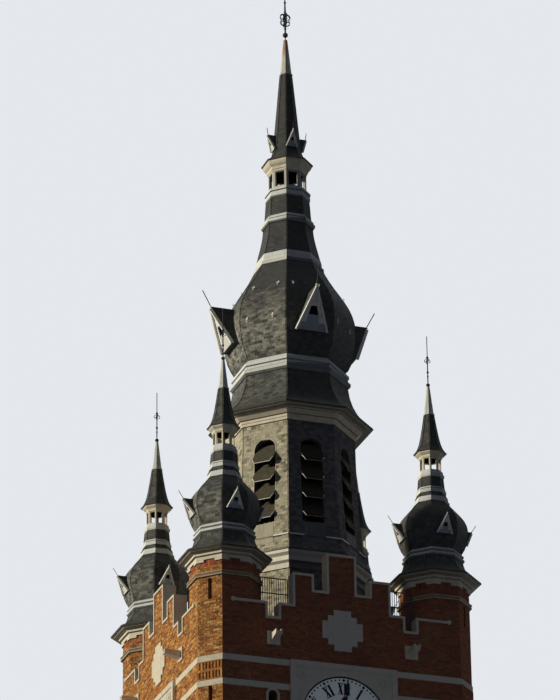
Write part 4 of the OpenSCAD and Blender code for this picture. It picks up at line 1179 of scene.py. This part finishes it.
def rosette(solids, facet, u, z, radius, near):
    """A round carved flower with eight petals."""
    back, petal_front, button_front, button = near - 0.002, near + 0.02, near + 0.035, 0.16 * radius
    petal = [(0, 0.18), (0.2, 0.5), (0.26, 0.78), (0.14, 0.95), (-0.14, 0.95), (-0.26, 0.78), (-0.2, 0.5)]
    for angle in EIGHTHS:
        outline = [turned(across * radius, rise * radius, angle) for across, rise in petal]
        solids.prism(facet, [(u + a, z + b) for a, b in outline], back, petal_front)
    solids.prism(facet, [(u + button * c, z + button * s) for c, s in circle(16)], back, button_front)


class TOWER_OT_dials(bpy.types.Operator):
    """Paints the dials and carves the corners of the clock panels"""
    bl_idname = "tower.dials"
    bl_label = "Mark dials"

    def execute(self, context):
        low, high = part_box("clock_dials")
        middle, radius = (low.z + high.z) / 2, (high.z - low.z) / 2
        corner, sunk, roundel = 1.38, 0.02, 0.17
        panel_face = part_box("clock_panels")[1].x - sunk
        marks, carving = Solids(), Solids()
        for angle in QUARTERS:
            facet = upright(angle)
            dial_marks(marks, facet, middle, radius, high.x)
            for u in (-corner, corner):
                for z in (middle - corner, middle + corner):
                    rosette(carving, facet, u, z, roundel, panel_face)
        marks.piece("dial_marks", "black", "hand")
        carving.piece("panel_rosettes", "stone", "stone")
        return {"FINISHED"}


# Windows and trim

def edging(solids, facet, middle, half, sill, spring, width, face, proud):
    """A strip round an arched opening; face gives the depth of the wall at a height."""
    jamb, arch = 10, 14
    rises = [sill + (spring - sill) * i / jamb for i in range(jamb + 1)]
    line = [((-half, z), (-1, 0)) for z in rises]
    line += [((half * math.cos(a), spring + half * math.sin(a)), (math.cos(a), math.sin(a)))
             for a in (math.pi * (1 - i / arch) for i in range(1, arch))]
    line += [((half, z), (1, 0)) for z in reversed(rises)]
    rings = []
    for (u, z), (across, rise) in line:
        u, outer = middle + u, (middle + u + across * width, z + rise * width)
        inner_face, outer_face = face(z), face(outer[1])
        rings.append([facet.point(u, z, inner_face - BEDDED), facet.point(u, z, inner_face + proud),
                      facet.point(*outer, outer_face + proud), facet.point(*outer, outer_face - BEDDED)])
    solids.sweep(rings)


def board_bead(solids, facet, foot, reach, near):
    """A bead along the lower edge and up the cut corners of one louvre board."""
    half, corner, thick, drop, radius, inset, lift = WINDOW[0], 0.11, 0.0927, 0.64, 0.013, 0.004, 0.008
    kink = corner * thick / (1.5 * corner)
    side = [(half - inset, foot + 1.5 * corner, near - reach * (1.5 * corner - thick) / drop),
            (half - corner + kink, foot + thick, near), (half - corner, foot + lift, near)]
    path = [facet.point(-u, z, depth) for u, z, depth in side] + [facet.point(*p) for p in reversed(side)]
    solids.rod(path, [radius] * len(path), sides=6)


class TOWER_OT_windows(bpy.types.Operator):
    """Trims the belfry windows, their louvre boards and the arched side windows"""
    bl_idname = "tower.windows"
    bl_label = "Trim windows"

    def execute(self, context):
        probe = Probe()
        half, sill, top = WINDOW
        strips, beads, aprons, moulding, arches = (Solids() for _ in range(5))
        board_face, board_reach, board_pitch, first_board = 2.2269, 0.41, 0.665, 0.18
        near_edge, near_sill = 2.1, 2.3
        apron_half, apron_foot, apron_parts, apron_proud, gap = 0.36, 9.98, 24, 0.012, 0.004
        strip_start, strip_foot, strip_middle, strip_head = 0.38, 10.172, 10.2, 10.222
        for angle in EIGHTHS:
            facet = upright(angle, probe=probe, nodes={"belfry_drum"})
            edging(strips, facet, 0, half, sill, spring=top - half, width=0.022,
                   face=lambda z: facet.depth(BESIDE_WINDOWS, z, near_edge), proud=0.012)
            for k in range(4):
                board_bead(beads, facet, sill + first_board + board_pitch * k, board_reach, board_face)
            rings = []
            for i in range(apron_parts + 1):
                z = apron_foot + (sill - gap - apron_foot) * i / apron_parts
                face = facet.depth(0, z, near_sill)
                rings.append([facet.point(u, z, face + lift) for u, lift in (
                    (-apron_half, -BEDDED), (apron_half, -BEDDED),
                    (apron_half, apron_proud), (-apron_half, apron_proud))])
            aprons.sweep(rings)
            face = facet.depth(0, strip_middle, near_sill)
            for u0, u1 in ((-face * OCTAGON_SLOPE, -strip_start), (strip_start, face * OCTAGON_SLOPE)):
                moulding.prism(facet, rectangle(u0, u1, strip_foot, strip_head), face - 0.003, face + 0.01)
        wall, side_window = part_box("right_wall")[1].x, 2.37
        for angle in QUARTERS:
            for middle in (-side_window, side_window):
                edging(arches, upright(angle), middle, half=0.15, sill=2.22, spring=3.63, width=0.075,
                       face=lambda z: wall, proud=0.02)
        strips.piece("belfry_window_edgings", "edging", "cream_paint")
        beads.piece("louvre_beads", "bead", "cream_paint")
        aprons.piece("belfry_sill_aprons", "apron", "zinc")
        moulding.piece("drum_moulding_strips", "white", "zinc")
        arches.piece("side_window_surrounds", "stone", "stone")
        return {"FINISHED"}


class TOWER_OT_trim(bpy.types.Operator):
    """Adds the fillets of the string courses and the rolls of the leaded roof walk"""
    bl_idname = "tower.trim"
    bl_label = "Add trim"

    def execute(self, context):
        fillets, rolls = Solids(), Solids()
        low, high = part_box("string_courses")
        face = high.x - turret_axis("front_right")[0]
        for axis in turret_axes():
            for angle in EIGHTHS:
                facet = upright(angle, axis)
                for z0, z1, proud in ((low.z, low.z + 0.03, 0.012), (high.z - 0.028, high.z, 0.02)):
                    side = (face + proud) * OCTAGON_SLOPE
                    fillets.prism(facet, rectangle(-side, side, z0, z1), face - 0.002, face + proud)
        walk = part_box("roof_walk")[1]
        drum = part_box("drum_base")[1].x
        pitch, clear, radius = 0.58, 0.02, 0.022
        for angle in QUARTERS:
            facet = upright(angle)
            for k in range(-4, 5):
                ends = [facet.point(pitch * k, walk.z, depth) for depth in (drum + clear, walk.x - clear)]
                rolls.rod(ends, [radius, radius])
        fillets.piece("string_fillets", "string_edge", "stone")
        rolls.piece("lead_rolls", "lead", "roof_lead")
        return {"FINISHED"}


# Turned profiles of the finial rods as (height, radius)
MAIN_ROD = [(30.16, 0.030), (30.28, 0.030), (30.31, 0.052), (30.34, 0.030), (30.38, 0.034), (30.42, 0.058),
            (30.47, 0.036), (30.78, 0.032), (30.83, 0.075), (30.88, 0.085), (30.93, 0.045), (31.05, 0.034),
            (31.33, 0.026)]
MAIN_TIP = [(31.42, 0.022), (cad_box[1][2] - 0.04, 0.020), (cad_box[1][2] - 0.005, 0.006)]
TURRET_ROD = [(15.62, 0.020), (15.80, 0.020), (15.83, 0.034), (15.86, 0.020), (16.28, 0.019), (16.31, 0.032),
              (16.34, 0.019), (16.46, 0.019)]
# Curls of wrought leafwork as (reach, height, radius)
MAIN_LEAVES = (
    [(0.05, 30.87, 0.020), (0.11, 30.88, 0.026), (0.165, 30.83, 0.030), (0.18, 30.75, 0.026),
     (0.15, 30.68, 0.020), (0.11, 30.70, 0.030)],
    [(0.03, 30.45, 0.016), (0.09, 30.44, 0.022), (0.15, 30.49, 0.028), (0.17, 30.57, 0.024),
     (0.14, 30.63, 0.018), (0.10, 30.60, 0.026)],
)
TURRET_LEAVES = ([(0.01, 16.44, 0.009), (0.06, 16.46, 0.012), (0.10, 16.42, 0.014), (0.10, 16.36, 0.012),
                  (0.06, 16.35, 0.016)],)


class TOWER_OT_finials(bpy.types.Operator):
    """Adds the leafwork, sleeves and collars of the finial rods"""
    bl_idname = "tower.finials"
    bl_label = "Dress finials"

    def execute(self, context):
        iron = Solids()
        turrets = [(axis, (TURRET_ROD,), TURRET_LEAVES) for axis in turret_axes()]
        for axis, rods, leaves in [((0, 0), (MAIN_ROD, MAIN_TIP), MAIN_LEAVES), *turrets]:
            for rod in rods:
                iron.rod([Vector((*axis, z)) for z, _ in rod], [radius for _, radius in rod], sides=12)
            for angle in QUARTERS:
                facet = upright(angle, axis)
                for leaf in leaves:
                    path = [facet.point(0, z, out) for out, z, _ in leaf]
                    iron.rod(path, [radius for _, _, radius in leaf], sides=6)
        iron.piece("finial_ironwork", "iron", "iron", smooth=True)
        return {"FINISHED"}


class TOWER_OT_hooks(bpy.types.Operator):
    """Sets the roofers' hooks on the main bulb"""
    bl_idname = "tower.hooks"
    bl_label = "Set roof hooks"

    def execute(self, context):
        probe, hooks = Probe(), Solids()
        near_bulb, half, drop, rise, radius = 2.1, 0.028, 0.07, 0.1, 0.013
        arm = [(0.03, 0.012), (-0.03, 0.02), (-0.06, 0.055), (-0.045, 0.095), (0.005, 0.105)]
        for angle in EIGHTHS:
            facet = upright(angle, probe=probe, nodes={"main_bulb"})
            places = [(-0.48, 19.55), (0.44, 19.56)]
            if angle % 90:
                places += [(-0.58, 18.25), (0.38, 18.24)]
            for u, z in places:
                near = facet.depth(u, z, near_bulb)
                if near is None:
                    raise RuntimeError("a roof hook misses the bulb")
                lean = facet.depth(u, z + rise, near_bulb) - near
                plate = rectangle(u - half, u + half, z - drop, z + rise)
                hooks.sweep([[facet.point(a, b, near + lean * (b - z) / rise + lift) for a, b in plate]
                             for lift in (0.004, 0.016)])
                hooks.rod([facet.point(u, z + up, near + lean * up / rise + out) for up, out in arm],
                          [radius] * len(arm), sides=6)
        hooks.piece("roof_hooks", "white", "zinc")
        return {"FINISHED"}


# Section of a bell from its crown round the rim to its inside, as (radius, height) for a bell 1 in radius
BELL = ((0.02, 0.0), (0.30, -0.02), (0.46, -0.12), (0.52, -0.45), (0.60, -0.85), (0.78, -1.22), (1.0, -1.45),
        (0.96, -1.52), (0.86, -1.40), (0.55, -0.95), (0.46, -0.5), (0.40, -0.2), (0.02, -0.12))


class TOWER_OT_bells(bpy.types.Operator):
    """Builds the timber bell frame inside the drum and hangs its bells"""
    bl_idname = "tower.bells"
    bl_label = "Hang bells"

    def execute(self, context):
        timber, bells = Solids(), Solids()
        floor, half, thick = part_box("roof_walk")[1].z, 0.92, 0.09
        sill, bearing, head, housed, hung = 0.11, 1.66, 13.24, 0.01, 0.14

        def beam(start, end, wide=thick, deep=thick):
            """A squared timber between two points, from half its width and half its depth."""
            along = (end - start).normalized()
            first = square_to(along) * wide
            second = along.cross(first).normalized() * deep
            timber.sweep([[p + first + second, p - first + second, p - first - second, p + first - second]
                          for p in (start, end)])

        for y in (-half, half):
            beam(*(Vector((x, y, floor + sill)) for x in (-bearing, bearing)), wide=0.12, deep=sill)
            for x in (-half, half):
                beam(Vector((x, y, floor + 2 * sill - housed)), Vector((x, y, head)))
        for angle in QUARTERS:
            facet = upright(angle)
            rails = [(z, z, 0.07, 0.10) for z in (8.4, 10.55, 12.45, 13.14)]
            for z0, z1, wide, deep in (*rails, (8.5, 10.45, 0.05, 0.05), (10.65, 12.35, 0.05, 0.05)):
                beam(facet.point(-half + thick, z0, half), facet.point(half - thick, z1, half), wide, deep)
        boards = 12
        for deck, reach in ((10.67, half + 0.16), (13.26, half + 0.5)):
            for k in range(boards):
                x = reach * (2 * (k + 0.5) / boards - 1)
                ends = (Vector((x, y, deck)) for y in (-reach, reach))
                beam(*ends, wide=reach / boards - 0.004, deep=0.02)
        for z, radius in ((12.28, 0.62), (13.10, 0.30)):
            beam(Vector((-half, 0, z)), Vector((half, 0, z)), wide=0.10, deep=0.12)
            bells.sweep([[Vector((out * radius * c, out * radius * s, z - hung + up * radius))
                          for c, s in circle(40)] for out, up in BELL])
            clapper = [Vector((0, 0, z - low)) for low in (0.2, 1.35 * radius, 1.75 * radius)]
            bells.rod(clapper, [0.02, 0.03, 0.08])
        timber.piece("bell_frame", "oak", "floor_timber")
        bells.piece("bells", "bronze", "finial_metal", smooth=True)
        return {"FINISHED"}


# Stage

def make_floor():
    """A pale round floor that isn't seen from below."""
    radius, sink = settings().stage.floor, 0.002
    ring = [(radius * c, radius * s, -sink) for c, s in circle(96)]
    mesh = bpy.data.meshes.new("floor")
    mesh.from_pydata(ring, [], [list(range(len(ring)))])
    floor = bpy.data.objects.new("floor", mesh)
    bpy.context.scene.collection.objects.link(floor)
    f = Finish("pale_floor", roughness=0.9, specular=0.1)
    f.paint(f.mix(f.add("LightPath").outputs["Is Camera Ray"], (0.27, 0.30, 0.38), (0.86, 0.86, 0.85)))
    blend = f.add("MixShader", Fac=f.add("NewGeometry").outputs["Backfacing"])
    f.links.new(f.shader.outputs[0], blend.inputs[1])
    f.links.new(f.add("BsdfTransparent").outputs[0], blend.inputs[2])
    f.links.new(blend.outputs[0], f.nodes["Material Output"].inputs["Surface"])
    mesh.materials.append(f.material)


def make_lights():
    """A soft key from the left, a weaker lamp for the far sides, and an even light from all round."""
    stage = settings().stage
    for name, energy, spread, tint, towards in (
            ("key", stage.key, 5, (1.0, 0.93, 0.77), (-0.965, 0.13, 0.19)),
            ("back", stage.back, 20, (1.0, 0.97, 0.92), (0.36, 0.87, 0.26))):
        light = bpy.data.lights.new(name, "SUN")
        light.energy = energy
        light.angle = math.radians(spread)
        light.color = tint
        lamp = bpy.data.objects.new(name, light)
        lamp.rotation_mode = "QUATERNION"
        lamp.rotation_quaternion = Vector(towards).normalized().to_track_quat("Z", "Y")
        bpy.context.scene.collection.objects.link(lamp)
    world = bpy.data.worlds.new("studio")
    bpy.context.scene.world = world
    world.use_nodes = True
    nodes, links = world.node_tree.nodes, world.node_tree.links
    nodes.clear()
    path = nodes.new("ShaderNodeLightPath")
    seen = path.outputs["Is Camera Ray"]
    for ray in ("Is Glossy Ray", "Is Transmission Ray"):
        either = nodes.new("ShaderNodeMath")
        either.operation = "MAXIMUM"
        links.new(seen, either.inputs[0])
        links.new(path.outputs[ray], either.inputs[1])
        seen = either.outputs[0]
    light, shown = nodes.new("ShaderNodeBackground"), nodes.new("ShaderNodeBackground")
    light.inputs["Color"].default_value = (0.70, 0.79, 1.0, 1)
    light.inputs["Strength"].default_value = stage.fill
    shown.inputs["Color"].default_value = (0.78, 0.81, 0.85, 1)
    blend = nodes.new("ShaderNodeMixShader")
    for socket, output in zip(blend.inputs, (seen, light.outputs[0], shown.outputs[0])):
        links.new(output, socket)
    links.new(blend.outputs[0], nodes.new("ShaderNodeOutputWorld").inputs["Surface"])


def make_camera():
    """A fixed viewpoint low in front and to the left, looking up at the belfry through a long lens."""
    place = Vector((-42.610, -119.903, -39.738))
    turn, climb, roll = math.radians(-19.416), math.radians(24.358), math.radians(-0.729)
    focal_pixels, picture_height = 4100.0, 700.0
    ahead = Vector((-math.sin(turn), math.cos(turn), 0))
    side = Vector((math.cos(turn), math.sin(turn), 0))
    forward = ahead * math.cos(climb) + UP * math.sin(climb)
    top = UP * math.cos(climb) - ahead * math.sin(climb)
    right = side * math.cos(roll) + top * math.sin(roll)
    above = top * math.cos(roll) - side * math.sin(roll)
    camera = bpy.data.cameras.new("camera")
    camera.sensor_fit = "VERTICAL"
    camera.sensor_height = 36
    camera.lens = focal_pixels * camera.sensor_height / picture_height
    camera.clip_end = 1000
    holder = bpy.data.objects.new("camera", camera)
    holder.matrix_world = Matrix((
        (right.x, above.x, -forward.x, place.x),
        (right.y, above.y, -forward.y, place.y),
        (right.z, above.z, -forward.z, place.z),
        (0, 0, 0, 1),
    ))
    bpy.context.scene.collection.objects.link(holder)
    return holder


class TOWER_OT_stage(bpy.types.Operator):
    """Sets up the floor, the lights and the camera"""
    bl_idname = "tower.stage"
    bl_label = "Set the stage"

    def execute(self, context):
        scene = bpy.context.scene
        make_floor()
        make_lights()
        scene.camera = make_camera()
        scene.view_settings.view_transform = "Standard"
        return {"FINISHED"}


# The add-on

OPERATORS = (TOWER_OT_stage, TOWER_OT_dress, TOWER_OT_bricks, TOWER_OT_slates, TOWER_OT_gablets,
             TOWER_OT_dials, TOWER_OT_windows, TOWER_OT_trim, TOWER_OT_finials, TOWER_OT_hooks,
             TOWER_OT_bells)


class TOWER_PT_panel(bpy.types.Panel):
    """Lists the steps and the settings"""
    bl_idname = "TOWER_PT_panel"
    bl_label = "Clock Tower"
    bl_space_type = "VIEW_3D"
    bl_region_type = "UI"
    bl_category = "Clock Tower"

    def draw(self, context):
        layout = self.layout
        for operator in OPERATORS:
            layout.operator(operator.bl_idname)
        tower = context.scene.clock_tower
        for group in (tower.bricks, tower.slates, tower.colours, tower.stage):
            box = layout.box()
            for key in group.bl_rna.properties.keys():
                if key not in ("rna_type", "name"):
                    box.prop(group, key)


CLASSES = (BrickSettings, SlateSettings, ColourSettings, StageSettings, TowerSettings, *OPERATORS,
           TOWER_PT_panel)


def register():
    for cls in CLASSES:
        bpy.utils.register_class(cls)
    bpy.types.Scene.clock_tower = PointerProperty(type=TowerSettings)


def unregister():
    del bpy.types.Scene.clock_tower
    for cls in reversed(CLASSES):
        bpy.utils.unregister_class(cls)


def main():
    register()
    for operator in OPERATORS:
        area, name = operator.bl_idname.split(".")
        getattr(getattr(bpy.ops, area), name)()


if __name__ == "__main__":
    main()
